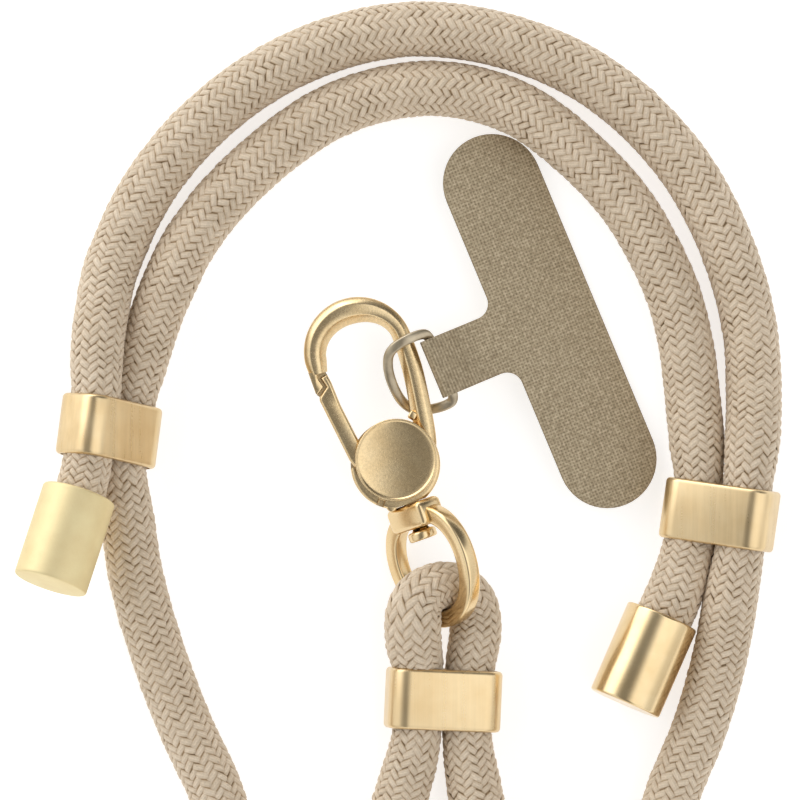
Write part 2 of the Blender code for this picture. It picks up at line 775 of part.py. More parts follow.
def add_tab(collection, cutters, parent, material):
    """Stiff woven tab whose stem is folded round the D-ring's straight bar."""
    tab = made_mesh(flat_outline("tab_outline", [tab_outline()], TAB_THICKNESS / 2), "fabric_tab")
    shape = bmesh.new()
    shape.from_mesh(tab.data)
    for a in TAB_CUTS_A:
        geometry = shape.verts[:] + shape.edges[:] + shape.faces[:]
        bmesh.ops.bisect_plane(
            shape, geom=geometry, dist=1e-7, plane_co=(a * MM, 0, 0), plane_no=(1, 0, 0)
        )
    bmesh.ops.triangulate(shape, faces=shape.faces[:])
    shape.to_mesh(tab.data)
    shape.free()
    lift(tab.data)
    smooth_shade(tab.data)
    place(tab, collection, parent, material)

    half = TAB_THICKNESS / 2
    nose = [math.pi * 0.5 + math.pi * step / 10 for step in range(11)]
    section = [(FOLD_RADIUS * math.cos(angle), FOLD_RADIUS * math.sin(angle)) for angle in nose]
    section += [(FOLD_TAIL_A - 0.4, -half - 0.35), (FOLD_TAIL_A, -half + 0.1), (FOLD_TAIL_A, half - 0.1)]
    fold = made_mesh(flat_outline("fold_section", [section], STEM_HALF_WIDTH - 0.02), "fold")
    fold.data.transform(Matrix.Rotation(math.radians(90), 4, "X"))
    lift(fold.data)
    reach = STEM_HALF_WIDTH + 2
    start = (0, -reach, -BAR_TWIST * reach)
    end = (0, reach, BAR_TWIST * reach)
    channel = cylinder("fold_channel", FOLD_CHANNEL_RADIUS, start, end, 16)
    for helper, operation in ((fold, "UNION"), (channel, "DIFFERENCE")):
        as_helper(place(helper, cutters, parent))
        boolean(tab, helper, operation)
    return tab


def build():
    clear_scene()
    collection = new_collection("phone_crossbody_strap")
    cutters = new_collection("cutters")
    yarn = finish_material("sand_yarn", SAND_YARN, 0.9, 0.0)
    gold = finish_material("satin_gold", SATIN_GOLD, 0.32, 1.0)
    fabric = finish_material("taupe_fabric", TAUPE_FABRIC, 0.85, 0.0)
    enamel = finish_material("taupe_enamel", TAUPE_ENAMEL, 0.45, 0.3)

    layout = frame_empty("layout", collection, None, Matrix.Translation(-LAYOUT_MIDDLE * MM))
    hook_place = Matrix.Translation(Vector((*HOOK_CENTRE, SWIVEL_HEIGHT)) * MM)
    hook_turn = Matrix.Rotation(math.radians(HOOK_LEAN), 4, "Z")
    hook_axis = frame_empty("hook_axis", collection, layout, hook_place @ hook_turn)
    bail_turn = Matrix.Rotation(math.radians(-BAIL_TURN), 4, "Y")
    bail_frame = frame_empty("bail_frame", collection, layout, hook_place @ hook_turn @ bail_turn)
    tab_turn = Matrix.Rotation(math.radians(TAB_LEAN), 4, "Z")
    tab_place = Matrix.Translation(Vector((*TAB_BAR, 0.0)) * MM) @ tab_turn
    tab_frame = frame_empty("tab_frame", collection, hook_axis, tab_place)

    add_rope(collection, layout, yarn)
    for row in SLIDES:
        add_slide(collection, layout, gold, row)
    for row in CAPS:
        add_cap(collection, layout, gold, row)
    add_bail(collection, cutters, bail_frame, gold)
    add_hook_frame(collection, cutters, hook_axis, gold)
    add_hook_disc(collection, hook_axis, gold)
    add_gate(collection, hook_axis, gold)
    add_d_ring(collection, hook_axis, enamel)
    add_tab(collection, cutters, tab_frame, fabric)


build()
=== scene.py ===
"""Looks of the crossbody rope strap: braid, satin gold fittings, snap hook, D-ring and woven tab."""

import math

import bmesh
import bpy
import numpy as np
from mathutils import Matrix, Vector


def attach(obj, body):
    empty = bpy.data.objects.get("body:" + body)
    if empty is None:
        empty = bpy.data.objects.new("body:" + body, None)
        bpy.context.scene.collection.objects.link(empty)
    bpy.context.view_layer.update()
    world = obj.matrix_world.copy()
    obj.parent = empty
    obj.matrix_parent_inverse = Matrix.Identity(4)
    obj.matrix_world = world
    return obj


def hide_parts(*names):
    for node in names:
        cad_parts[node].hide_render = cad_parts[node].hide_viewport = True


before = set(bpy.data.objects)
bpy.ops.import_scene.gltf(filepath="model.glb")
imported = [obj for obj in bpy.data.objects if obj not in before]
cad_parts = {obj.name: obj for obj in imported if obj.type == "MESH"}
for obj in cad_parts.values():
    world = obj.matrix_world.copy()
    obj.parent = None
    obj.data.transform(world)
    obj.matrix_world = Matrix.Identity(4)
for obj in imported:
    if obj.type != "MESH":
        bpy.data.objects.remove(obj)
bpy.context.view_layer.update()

MM = 0.001
LAYOUT_MIDDLE = Vector((-0.02, -80.29, 0.03))
TO_ROW = Matrix.Scale(MM, 4) @ Matrix.Translation(-LAYOUT_MIDDLE)

# Camera: straight above the middle of the picture, through a very long lens
PICTURE_WIDTH = 115.94
PICTURE_HEIGHT_Z = 5.0
LENS = 500.0
SENSOR = 36.0

# Rope: the solids' route, eased by up to 1.3 mm near the fittings, as x, y, z and radius in millimetres
ROPE_ROUTE = [
    # left cap, left slide, up to the outer arch
    (-49.1, -22.5, 14.2, 3.6), (-46.2, -13.6, 12.2, 3.6), (-45.2, -9.2, 11.25, 3.5), (-44.5, -3.9, 10.7, 3.5),
    (-43.85, 1.4, 10.15, 3.5), (-43.9, 5.3, 9.2, 3.7), (-43.6, 9.4, 8.15, 3.75), (-43.0, 13.8, 6.4, 3.8),
    (-42.2, 18.1, 4.9, 3.9), (-40.9, 21.7, 4.1, 3.9),
    # outer arch
    (-37.5, 29.0, 3.9, 3.9), (-32.4, 36.2, 3.9, 3.9), (-25.4, 43.0, 3.9, 3.9), (-17.8, 48.1, 3.9, 3.9),
    (-9.4, 51.7, 3.9, 3.9), (0.0, 53.7, 3.9, 3.9), (8.7, 53.4, 3.9, 3.9), (18.1, 51.2, 3.9, 3.9),
    (26.8, 47.3, 3.9, 3.9), (34.8, 41.2, 3.9, 3.9), (42.1, 32.6, 3.9, 3.9), (47.6, 21.7, 3.9, 3.9),
    (50.6, 10.9, 3.9, 3.9),
    # right slide
    (51.3, 0.7, 4.6, 3.95), (50.9, -7.2, 6.5, 3.9), (50.4, -11.7, 7.34, 3.5), (49.75, -17.1, 7.34, 3.5),
    (49.0, -22.5, 7.34, 3.5), (48.1, -27.5, 6.5, 3.8), (46.6, -36.2, 4.3, 3.9), (43.6, -47.1, 3.9, 3.9),
    # right bight below the picture
    (39.3, -57.8, 3.9, 3.9), (35.9, -71.0, 3.9, 3.9), (38.4, -89.9, 3.9, 3.9), (45.2, -120.3, 3.9, 3.9),
    (48.3, -152.2, 3.9, 3.9), (48.3, -188.4, 3.9, 3.9), (43.2, -207.2, 3.9, 3.9), (31.2, -214.8, 3.9, 3.9),
    (19.1, -207.2, 3.9, 3.9), (14.1, -188.4, 3.9, 3.9), (14.1, -152.2, 3.9, 3.9), (14.6, -115.9, 3.9, 3.9),
    (14.8, -87.0, 3.9, 3.9), (13.0, -67.4, 3.9, 3.9),
    # centre slide and the loop over the bail
    (10.8, -56.5, 4.0, 3.9), (9.75, -49.1, 4.6, 3.5), (9.9, -43.5, 4.6, 3.5), (10.25, -37.9, 4.6, 3.55),
    (10.8, -35.0, 4.4, 3.65), (11.0, -32.2, 4.2, 3.6), (10.5, -29.4, 4.4, 3.5), (8.7, -27.4, 5.2, 3.4),
    (5.9, -26.8, 6.8, 3.35), (3.7, -27.7, 8.1, 3.5), (2.2, -29.7, 9.0, 3.85), (1.85, -32.2, 9.1, 4.05),
    (2.0, -35.3, 7.9, 4.0), (2.55, -38.3, 6.3, 3.65), (2.6, -43.2, 5.9, 3.5), (2.35, -48.9, 5.9, 3.5),
    (1.7, -52.0, 5.3, 3.7), (0.1, -57.8, 4.1, 3.9),
    # left bight below the picture
    (-2.6, -68.1, 3.9, 3.9), (-4.6, -87.0, 3.9, 3.9), (-3.6, -115.9, 3.9, 3.9), (-1.0, -152.2, 3.9, 3.9),
    (-1.0, -188.4, 3.9, 3.9), (-6.0, -207.2, 3.9, 3.9), (-18.1, -214.8, 3.9, 3.9), (-30.2, -207.2, 3.9, 3.9),
    (-35.2, -188.4, 3.9, 3.9), (-35.2, -152.2, 3.9, 3.9), (-32.2, -120.3, 3.9, 3.9), (-25.4, -89.9, 3.9, 3.9),
    (-23.3, -72.5, 3.9, 3.9), (-26.4, -57.8, 3.9, 3.9),
    # left slide again
    (-31.2, -47.1, 3.9, 3.9), (-35.3, -36.2, 3.9, 3.9), (-38.3, -25.4, 4.3, 3.9), (-39.7, -15.7, 5.3, 3.75),
    (-40.35, -10.3, 5.8, 3.5), (-39.66, -5.1, 5.2, 3.5), (-38.95, 0.1, 4.7, 3.5), (-37.6, 5.0, 4.3, 3.7),
    (-36.3, 9.4, 4.0, 3.75), (-34.8, 13.8, 3.9, 3.8),
    # inner arch
    (-32.9, 18.1, 3.9, 3.9), (-31.2, 21.7, 3.9, 3.9), (-25.9, 29.0, 3.9, 3.9), (-18.3, 36.2, 3.9, 3.9),
    (-10.9, 41.3, 3.9, 3.9), (-3.6, 44.1, 3.9, 3.9), (3.6, 45.2, 3.9, 3.9), (10.9, 44.4, 3.9, 3.9),
    (18.1, 41.7, 3.9, 3.9), (25.4, 36.2, 3.9, 3.9), (32.3, 29.0, 3.9, 3.9), (36.8, 21.7, 3.9, 3.9),
    (39.9, 14.5, 3.9, 3.9), (41.6, 7.2, 3.9, 3.9),
    # right slide again and the right cap
    (42.55, -0.7, 3.9, 3.95), (43.05, -6.6, 4.4, 3.9), (43.3, -10.8, 4.8, 3.5), (42.6, -16.1, 4.8, 3.5),
    (41.85, -21.5, 4.8, 3.8), (40.6, -26.0, 5.15, 4.0), (38.35, -31.2, 5.6, 4.05), (34.5, -39.6, 6.15, 3.8),
]
ROPE_CURVE_STEPS = 12
ROPE_STEP = 0.5
CORE_POINT_EVERY = 4

# Braid: eighteen columns of short raised yarns, leaning left and right by turns
BRAID_COLUMNS = 18
BRAID_ROW = 1.35
BRAID_LEAN = 54.5
BRAID_PIECES = 4
YARN_HALF_LENGTH = 1.06
YARN_HALF_WIDTH = 0.56
YARN_CROWN = 0.2
YARN_EDGE = -0.12
YARN_TIP_DROP = 0.08
YARN_TIP_POWER = 2.6
YARN_FLANK_POWER = 2.2
CORE_BELOW = 0.13
BRAID_START = 0.8
WRAP_RADIUS = 3.95

# How far each yarn strays from the pattern
STRAY_ALONG = 0.035
STRAY_LEAN = 0.06
STRAY_SIZE = 0.05
STRAY_HEIGHT = 0.024
STRAY_ROUND = 0.006
STRAY_TONE = 0.2

# Yarn colours
YARN_DARK = (0.74, 0.615, 0.465)
YARN_MIDDLE = (0.80, 0.67, 0.515)
YARN_LIGHT = (0.86, 0.73, 0.57)
YARN_PLY = (0.52, 0.39, 0.25)
# Painted shade: the dark brown that each yarn's sides and tips fade to, for the shade in the gaps between
# yarns
YARN_GAP_SHADE = (0.36, 0.23, 0.11)

# Gold plating: the usual tone and the left cap's paler one, which is painted light standing in for that cap's
# brighter look, each with its cloudier shade
GOLD = (0.83, 0.65, 0.385)
GOLD_WARM = (0.77, 0.575, 0.315)
GOLD_PALE_LIT = (0.85, 0.74, 0.45)
GOLD_PALE_LIT_WARM = (0.80, 0.67, 0.39)

# Slides: x, y, z of the middle, then lean, pitch and roll in degrees, and the width
SLIDE_LENGTH = 8.85
SLIDE_HEIGHT = 8.6
SLIDE_CORNER = 2.9
SLIDE_WALL = 0.72
SLIDE_RIM = 0.62
SLIDES = [
    ("left_slide", "slide_left", -42.07, -4.49, 7.95, -7.4, -6.0, 46.0, 15.4),
    ("right_slide", "slide_right", 46.3, -16.6, 6.07, -8.1, 0.0, -20.0, 16.4),
    ("centre_slide", "slide_centre", 6.25, -43.4, 5.25, -2.6, 0.0, 10.0, 16.6),
]

# Caps: the mouth and a point further down the axis
CAP_RADIUS = 5.4
CAP_LENGTH = 13.9
CAP_BORE = 4.15
CAP_END = 3.0
CAP_ROUNDING = 0.42
CAPS = [
    ("left_cap", "cap_left", (-46.25, -13.55, 12.2), (-50.4, -26.5, 15.1)),
    ("right_cap", "cap_right", (38.03, -31.25, 5.62), (32.55, -43.86, 6.55)),
]

# Snap hook frame: u across, v along the swivel axis towards the tip, w up
HOOK_CENTRE = (-0.6, -8.5)
HOOK_LEAN = 19.5
SWIVEL_HEIGHT = 7.4
BOW_CENTRE = (0.1, 16.4)
BOW_OUTER = 7.95
HUB_RADIUS = 6.5
HUB_CENTRE = (-0.33, -0.75)
HUB_W = (-1.9, 1.6)
HUB_FLAT_V = -6.75
GATE_PIVOT = (-4.2, 0.2)
DISC_RADIUS = 5.95
DISC_CENTRE = (0.0, -0.15)
DISC_DISH = 0.6
DISC_TOP = 2.68
DISC_BACK = 1.9
PIN_RADIUS = 0.65
LUG_RADIUS = 0.75
LUG_CENTRE = (-2.9, -6.35)
NOTCH_SIZE = (1.1, 1.5, 3.2)
NOTCH_PLACE = (-4.3, -5.45, 0.6)
NOTCH_LEAN = -38.7
WEB_SIZE = (1.2, 1.3, 2.3)
WEB_PLACE = (4.4, 5.1, -0.15)
WEB_LEAN = -50.0
GATE_W = (-1.0, 1.3)
GATE_ROOT = 1.6
GATE_ROUNDING = 0.42
POCKET_CLEAR = 1.95
POCKET_REACH = 8.9
POCKET_LEAN = 10.0
POCKET_FLOOR = -1.45
POST_FOOT = -12.35
POST_TOP = 5.9
POST_RADIUS = 1.15
POST_HEAD = (2.1, 1.35)
POST_ROUNDING = 0.42
BLOCK_SIZE = (7.9, 3.7, 4.6)
BLOCK_V = -8.66
BLOCK_BORE = 1.45
BAIL_TURN = 50.0
TAB_BAR = (10.6, 10.4)
TAB_LEAN = 3.18

# Bow: its section as shares of half width and half height, and the bar's last rows as u, v and halves
BOW_SECTION = [
    (-1.0, -0.3), (-1.0, 0.3), (-0.98, 0.48), (-0.92, 0.6), (-0.55, 0.9), (-0.46, 0.96), (-0.36, 0.98),
    (-0.02, 1.0), (0.26, 0.98), (0.36, 0.93), (0.46, 0.82), (0.86, 0.26), (0.95, 0.08), (1.0, -0.2),
    (0.94, -0.55), (0.7, -0.85), (0.35, -0.98), (-0.35, -0.98), (-0.72, -0.85), (-0.94, -0.6),
]
BOW_BAR = [
    (6.72, 14.6, 1.42, 1.3), (6.6, 11.6, 1.5, 1.3), (6.25, 8.6, 1.52, 1.3), (5.82, 5.6, 1.53, 1.3),
    (5.42, 2.8, 1.48, 1.3), (5.1, 0.6, 1.3, 1.25), (4.7, -1.2, 1.0, 1.0),
]

# Nose: the tongue that the gate meets and the ledge under it, as u and v
NOSE_LEDGE = [(-7.5, 16.2), (-5.5, 16.2), (-5.35, 14.9), (-5.7, 13.2), (-7.2, 11.8), (-7.72, 12.5)]
NOSE_TONGUE = [(-7.82, 15.9), (-6.6, 15.9), (-6.85, 14.85), (-6.42, 13.3), (-7.55, 12.5), (-7.8, 12.7)]

# Bail: half of its loop as q across and v along the swivel axis
BAIL_HALF = [
    (2.9, -9.0), (5.4, -10.4), (7.0, -13.0), (7.45, -16.2), (6.7, -19.6), (4.8, -22.4), (2.4, -23.9),
]
BAIL_FAR_V = -24.3
BAIL_SECTION = (1.27, 1.18)
BAIL_SQUARENESS = 5.0

# D-ring: u, v, w round the wire
D_RING = [
    (10.43, 13.4, 0.81), (10.36, 14.8, 1.2), (10.05, 15.5, 1.55), (9.3, 15.75, 1.85), (8.0, 15.75, 2.3),
    (6.6, 15.6, 2.5), (5.2, 15.25, 2.3), (4.1, 14.5, 1.6), (3.4, 13.0, 0.6), (3.15, 11.2, -0.2),
    (3.25, 9.2, -1.0), (3.7, 7.4, -1.8), (4.65, 6.05, -2.4), (6.0, 5.35, -2.55), (7.6, 5.0, -2.3),
    (9.4, 4.9, -1.85), (10.45, 5.15, -1.55), (10.85, 5.9, -1.22), (10.77, 7.4, -0.81),
]
D_RING_SECTION = (0.74, 0.55)
D_RING_SQUARENESS = 3.4
D_RING_UP = (0.05, 0.03, 1)

# Tab: a runs along the stem from the D-ring's bar, b across it
TAB_HALF_THICK = 0.45
TAB_HEAD_A = 17.16
TAB_HEAD_B = 21.66
TAB_HEAD_RADIUS = 7.18
TAB_END_HEIGHT = 0.62
TAB_FALL = (SWIVEL_HEIGHT - TAB_END_HEIGHT) / (TAB_HEAD_A + TAB_HEAD_RADIUS)
TAB_STEM_HALF = 4.35
TAB_STEM_END = 9.98
TAB_FILLET = 2.3
TAB_BENDS = (1.6, 2.4, 3.2, 4.0, 4.8, 5.6, 6.4, 7.2, 8.0, 9.0, 10.2)
TAB_TWIST = 0.27
TAB_TWIST_REACH = 9.0
THREAD_PITCH = 0.46
TAB_DARK = (0.228, 0.175, 0.102)
TAB_MIDDLE = (0.40, 0.32, 0.205)
TAB_LIGHT = (0.58, 0.48, 0.33)
TAB_RIM = (0.24, 0.174, 0.087)

# Floor: a wide pale sheet with its own soft glow
FLOOR_SIZE = 3.0
FLOOR_GREY = (0.6, 0.6, 0.6, 1)
FLOOR_GLOW = 0.64
FLOOR_DROP = 0.0002

# Dome: brightness by degrees left and right of straight up, two cards near the far wall, the end walls
DOME = [
    (-180, 0.8), (-90, 0.85), (-58, 0.95), (-44, 0.85), (-34, 0.45), (-22, 0.22), (-6, 0.2), (3, 0.4),
    (11, 0.95), (18, 1.15), (52, 1.15), (68, 0.8), (90, 0.7), (180, 0.7),
]
BRIGHT_CARD = ((-0.62, 0.66, 0.42), 1.9)
DARK_CARD = ((0.5, 0.74, 0.42), 0.12)
CARD_EDGE = (0.8, 0.92)
END_WALLS = (0.8, 0.93, 1.4)
DOME_TOP_LIFT = 0.3
DOME_STRENGTH = 1.2

HOOK = (
    TO_ROW
    @ Matrix.Translation((*HOOK_CENTRE, SWIVEL_HEIGHT))
    @ Matrix.Rotation(math.radians(HOOK_LEAN), 4, "Z")
)
BAIL = HOOK @ Matrix.Rotation(math.radians(-BAIL_TURN), 4, "Y")
TAB = HOOK @ Matrix.Translation((*TAB_BAR, 0)) @ Matrix.Rotation(math.radians(TAB_LEAN), 4, "Z")


# Node helpers


def math_node(tree, operation, *values):
    node = tree.nodes.new("ShaderNodeMath")
    node.operation = operation
    for socket, value in zip(node.inputs, values):
        if isinstance(value, (int, float)):
            socket.default_value = value
        else:
            tree.links.new(value, socket)
    return node.outputs[0]


def ramp_node(tree, factor, stops):
    """A colour ramp through (place, colour) stops, where a plain number stands for a grey."""
    node = tree.nodes.new("ShaderNodeValToRGB")
    elements = node.color_ramp.elements
    while len(elements) < len(stops):
        elements.new(0.5)
    for element, (place, colour) in zip(elements, stops):
        element.position = place
        element.color = (colour, colour, colour, 1) if isinstance(colour, float) else (*colour, 1)
    tree.links.new(factor, node.inputs["Fac"])
    return node.outputs["Color"]


class Finish:
    """One Principled material with short calls for adding and wiring nodes."""

    def __init__(self, name, **sockets):
        self.material = bpy.data.materials.new(name)
        self.material.use_nodes = True
        self.tree = self.material.node_tree
        self.shader = self.tree.nodes["Principled BSDF"]
        for socket, value in sockets.items():
            self.shader.inputs[socket.replace("_", " ")].default_value = value

    def add(self, kind, **settings):
        node = self.tree.nodes.new("ShaderNode" + kind)
        for key, value in settings.items():
            if hasattr(node, key):
                setattr(node, key, value)
            else:
                node.inputs[key.replace("_", " ")].default_value = value
        return node

    def wire(self, source, target):
        self.tree.links.new(source, target)
        return target

    def ramp(self, factor, stops):
        return ramp_node(self.tree, factor, stops)

    def math(self, operation, first, second=0.0, third=0.0):
        return math_node(self.tree, operation, first, second, third)

    def mix(self, factor, first, second, blend="MIX"):
        node = self.add("Mix", data_type="RGBA", blend_type=blend)
        for socket, value in ((node.inputs[0], factor), (node.inputs[6], first), (node.inputs[7], second)):
            if isinstance(value, (int, float)):
                socket.default_value = value
            elif isinstance(value, tuple):
                socket.default_value = (*value, 1)
            else:
                self.wire(value, socket)
        return node.outputs[2]

    def bump(self, height, strength, distance, under=None):
        node = self.add("Bump")
        node.inputs["Strength"].default_value = strength
        node.inputs["Distance"].default_value = distance
        self.wire(height, node.inputs["Height"])
        if under:
            self.wire(under, node.inputs["Normal"])
        return node.outputs["Normal"]

    def noise(self, vector, scale, detail=4.0, rough=0.5):
        node = self.add("TexNoise")
        node.inputs["Scale"].default_value = scale
        node.inputs["Detail"].default_value = detail
        node.inputs["Roughness"].default_value = rough
        self.wire(vector, node.inputs["Vector"])
        return node.outputs["Fac"]

    def stretched(self, vector, scale=(1, 1, 1), turn=(0, 0, 0)):
        node = self.add("Mapping")
        node.inputs["Scale"].default_value = scale
        node.inputs["Rotation"].default_value = turn
        self.wire(vector, node.inputs["Vector"])
        return node.outputs["Vector"]


def yarn_finish():
    """Matte sand yarn: each raised yarn has its own tone, four plies along it, and painted shade darkening
    its sides and tips towards the gaps.
    """
    sheen = {"Sheen_Weight": 0.12, "Sheen_Roughness": 0.5}
    finish = Finish("braid_yarn", Roughness=0.88, Specular_IOR_Level=0.25, **sheen)
    coords = finish.add("TexCoord")
    place = finish.add("UVMap", uv_map="yarn")
    split = finish.add("SeparateXYZ")
    finish.wire(place.outputs["UV"], split.inputs[0])
    along, across = split.outputs[0], split.outputs[1]
    tone = finish.add("Attribute", attribute_name="tone").outputs["Fac"]
    fray = finish.noise(coords.outputs["Object"], 3400.0, 4.0, 0.65)
    slant = finish.math("MULTIPLY_ADD", along, 0.2, across)
    wander = finish.math("MULTIPLY_ADD", fray, 0.22, slant)
    plies = finish.math("SINE", finish.math("MULTIPLY", wander, 20.0))
    plies = finish.math("MULTIPLY_ADD", plies, 0.5, 0.5)
    side = finish.math("ABSOLUTE", finish.math("SUBTRACT", across, 0.5))
    tip = finish.math("ABSOLUTE", finish.math("SUBTRACT", along, 0.5))
    far_side = finish.math("POWER", finish.math("MULTIPLY", side, 2.0), 4.0)
    far_tip = finish.math("POWER", finish.math("MULTIPLY", tip, 2.0), 7.0)
    gap_shade_mask = finish.math("MAXIMUM", far_side, far_tip)
    base = finish.ramp(tone, [(0.0, YARN_DARK), (0.45, YARN_MIDDLE), (1.0, YARN_LIGHT)])
    lined = finish.mix(finish.math("MULTIPLY_ADD", plies, -0.26, 0.26), base, YARN_PLY)
    fibres = finish.ramp(fray, [(0.3, 0.86), (0.7, 1.06)])
    lined = finish.mix(1.0, lined, fibres, "MULTIPLY")
    blotch = finish.ramp(finish.noise(coords.outputs["Object"], 90.0, 2.0), [(0.3, 0.93), (0.7, 1.0)])
    toned = finish.mix(1.0, lined, blotch, "MULTIPLY")
    # Painted shade: each yarn darkens towards its sides and tips, where the gaps between yarns lie in shade
    colour = finish.mix(gap_shade_mask, toned, YARN_GAP_SHADE)
    finish.wire(colour, finish.shader.inputs["Base Color"])
    fine = finish.bump(fray, 0.25, 0.00006)
    finish.wire(finish.bump(plies, 0.5, 0.00006, fine), finish.shader.inputs["Normal"])
    return finish.material


def core_shade_finish():
    finish = Finish("braid_gap_painted_shade", Roughness=0.95)
    coords = finish.add("TexCoord")
    flecks = finish.noise(coords.outputs["Object"], 1500.0, 3.0)
    # Painted shade: dark brown flecks on the core stand for the shade in the gaps between yarns
    colour = finish.ramp(flecks, [(0.3, (0.20, 0.13, 0.065)), (0.7, (0.38, 0.27, 0.155))])
    finish.wire(colour, finish.shader.inputs["Base Color"])
    return finish.material


def gold_finish(name, grain, rough, streak=0.0, turn=0.0, mottle=0.0, tint=GOLD, dark=GOLD_WARM):
    """Satin gold plating: fine grain, soft cloudy tone and, on the slides, brushing along the rope."""
    finish = Finish(name, Metallic=1.0)
    coords = finish.add("TexCoord").outputs["Object"]
    cloud = finish.noise(coords, 260.0, 3.0)
    fine = finish.noise(coords, 3600.0, 3.0, 0.6)
    colour = finish.ramp(cloud, [(0.3, dark), (0.7, tint)])
    if mottle:
        spots = finish.ramp(finish.noise(coords, 2300.0, 4.0, 0.6), [(0.32, 1.0 - mottle), (0.6, 1.0)])
        colour = finish.mix(1.0, colour, spots, "MULTIPLY")
    spread = 0.04 if streak else 0.16
    roughness = finish.math("MULTIPLY_ADD", fine, spread, rough - spread / 2)
    height = fine
    if streak:
        lines = finish.noise(finish.stretched(coords, (1100.0, 25.0, 1100.0), (0, 0, turn)), 1.0, 4.0, 0.6)
        roughness = finish.math("MULTIPLY_ADD", lines, 0.2, roughness)
        bands = finish.ramp(lines, [(0.32, 0.88), (0.66, 1.0)])
        colour = finish.mix(1.0, colour, bands, "MULTIPLY")
        height = finish.math("MULTIPLY", lines, streak)
    finish.wire(colour, finish.shader.inputs["Base Color"])
    finish.wire(roughness, finish.shader.inputs["Roughness"])
    finish.wire(finish.bump(height, grain, 0.00003), finish.shader.inputs["Normal"])
    return finish.material


def enamel_finish():
    """Taupe plated wire with worn lighter spots."""
    finish = Finish("taupe_wire", Metallic=0.85)
    coords = finish.add("TexCoord").outputs["Object"]
    cloud = finish.noise(coords, 700.0, 4.0)
    colour = finish.ramp(cloud, [(0.3, (0.39, 0.32, 0.22)), (0.7, (0.55, 0.47, 0.34))])
    finish.wire(colour, finish.shader.inputs["Base Color"])
    finish.wire(finish.math("MULTIPLY_ADD", cloud, 0.2, 0.22), finish.shader.inputs["Roughness"])
    return finish.material


def woven_finish():
    """Coated taupe weave on the tab: ribs along the stem, finer threads across them."""
    finish = Finish("tab_weave", Roughness=0.62, Specular_IOR_Level=0.35)
    place = finish.add("UVMap", uv_map="weave")
    split = finish.add("SeparateXYZ")
    finish.wire(place.outputs["UV"], split.inputs[0])
    along, across = split.outputs[0], split.outputs[1]
    coords = finish.add("TexCoord").outputs["Object"]
    wobble = finish.math("MULTIPLY", finish.noise(coords, 500.0, 3.0), 1.6)
    warp = finish.math("COSINE", finish.math("MULTIPLY_ADD", along, 2 * math.pi / THREAD_PITCH, wobble))
    weft = finish.math("COSINE", finish.math("MULTIPLY_ADD", across, 2 * math.pi / THREAD_PITCH, wobble))
    warp = finish.math("MULTIPLY_ADD", warp, 0.5, 0.5)
    weft = finish.math("MULTIPLY_ADD", weft, 0.5, 0.5)
    holes = finish.math("MULTIPLY", warp, weft)
    near_fold = finish.add("MapRange")
    near_fold.inputs["From Min"].default_value = 7.0
    near_fold.inputs["From Max"].default_value = 3.0
    finish.wire(along, near_fold.inputs["Value"])
    ribs = finish.math("MULTIPLY", finish.math("MULTIPLY", warp, 0.55), near_fold.outputs["Result"])
    low = finish.math("MAXIMUM", holes, ribs)
    speckle = finish.noise(coords, 2400.0, 2.0)
    level = finish.math("SUBTRACT", speckle, finish.math("MULTIPLY", low, 0.42))
    colour = finish.ramp(level, [(0.08, TAB_DARK), (0.42, TAB_MIDDLE), (0.68, TAB_LIGHT)])
    rim = finish.add("Attribute", attribute_name="rim").outputs["Fac"]
    colour = finish.mix(rim, colour, TAB_RIM)
    finish.wire(colour, finish.shader.inputs["Base Color"])
    height = finish.math("SUBTRACT", 1.0, low)
    finish.wire(finish.bump(height, 0.5, 0.00008), finish.shader.inputs["Normal"])
    return finish.material


# Mesh helpers


def place_piece(name, shape, matrix, material, body, nodes, sharp=32.0):
    """Writes a bmesh, drawn in millimetres, as a finished object in the row frame."""
    bmesh.ops.transform(shape, matrix=matrix, verts=shape.verts)
    bmesh.ops.recalc_face_normals(shape, faces=shape.faces)
    mesh = bpy.data.meshes.new(name)
    shape.to_mesh(mesh)
    shape.free()
    mesh.shade_smooth()
    mesh.set_sharp_from_angle(angle=math.radians(sharp))
    mesh.materials.append(material)
    piece = bpy.data.objects.new(name, mesh)
    bpy.context.scene.collection.objects.link(piece)
    declare(piece, body, nodes)
    return piece


def declare(piece, body, nodes):
    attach(piece, body)
    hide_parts(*nodes)


def bevel(shape, edges, offset, segments=3):
    return bmesh.ops.bevel(
        shape, geom=edges, offset=offset, segments=segments, profile=0.5, affect="EDGES", material=-1
    )


def smooth_line(points, steps, closed=False):
    """Centripetal Catmull-Rom curve through rows of any number of columns."""
    rows = [np.array(p, float) for p in points]
    if closed:
        padded = [rows[-1]] + rows + rows[:2]
    else:
        padded = [2 * rows[0] - rows[1]] + rows + [2 * rows[-1] - rows[-2]]
    line = []
    for before, start, end, after in zip(padded, padded[1:], padded[2:], padded[3:]):
        first = math.sqrt(np.linalg.norm(start - before))
        second = first + math.sqrt(np.linalg.norm(end - start))
        third = second + math.sqrt(np.linalg.norm(after - end))
        for step in range(steps):
            t = first + (second - first) * step / steps
            a = before + (start - before) * t / first
            b = start + (end - start) * (t - first) / (second - first)
            c = end + (after - end) * (t - second) / (third - second)
            ab = a + (b - a) * t / second
            bc = b + (c - b) * (t - first) / (third - first)
            line.append(ab + (bc - ab) * (t - first) / (second - first))
    if not closed:
        line.append(rows[-1])
    return np.array(line)


def soft_section(half_width, half_height, power, count):
    """A closed round-cornered section: power 2 is an ellipse, more is squarer."""
    points = []
    for step in range(count):
        angle = 2 * math.pi * step / count
        c, s = math.cos(angle), math.sin(angle)
        x = half_width * math.copysign(abs(c) ** (2 / power), c)
        y = half_height * math.copysign(abs(s) ** (2 / power), s)
        points.append((x, y))
    return points


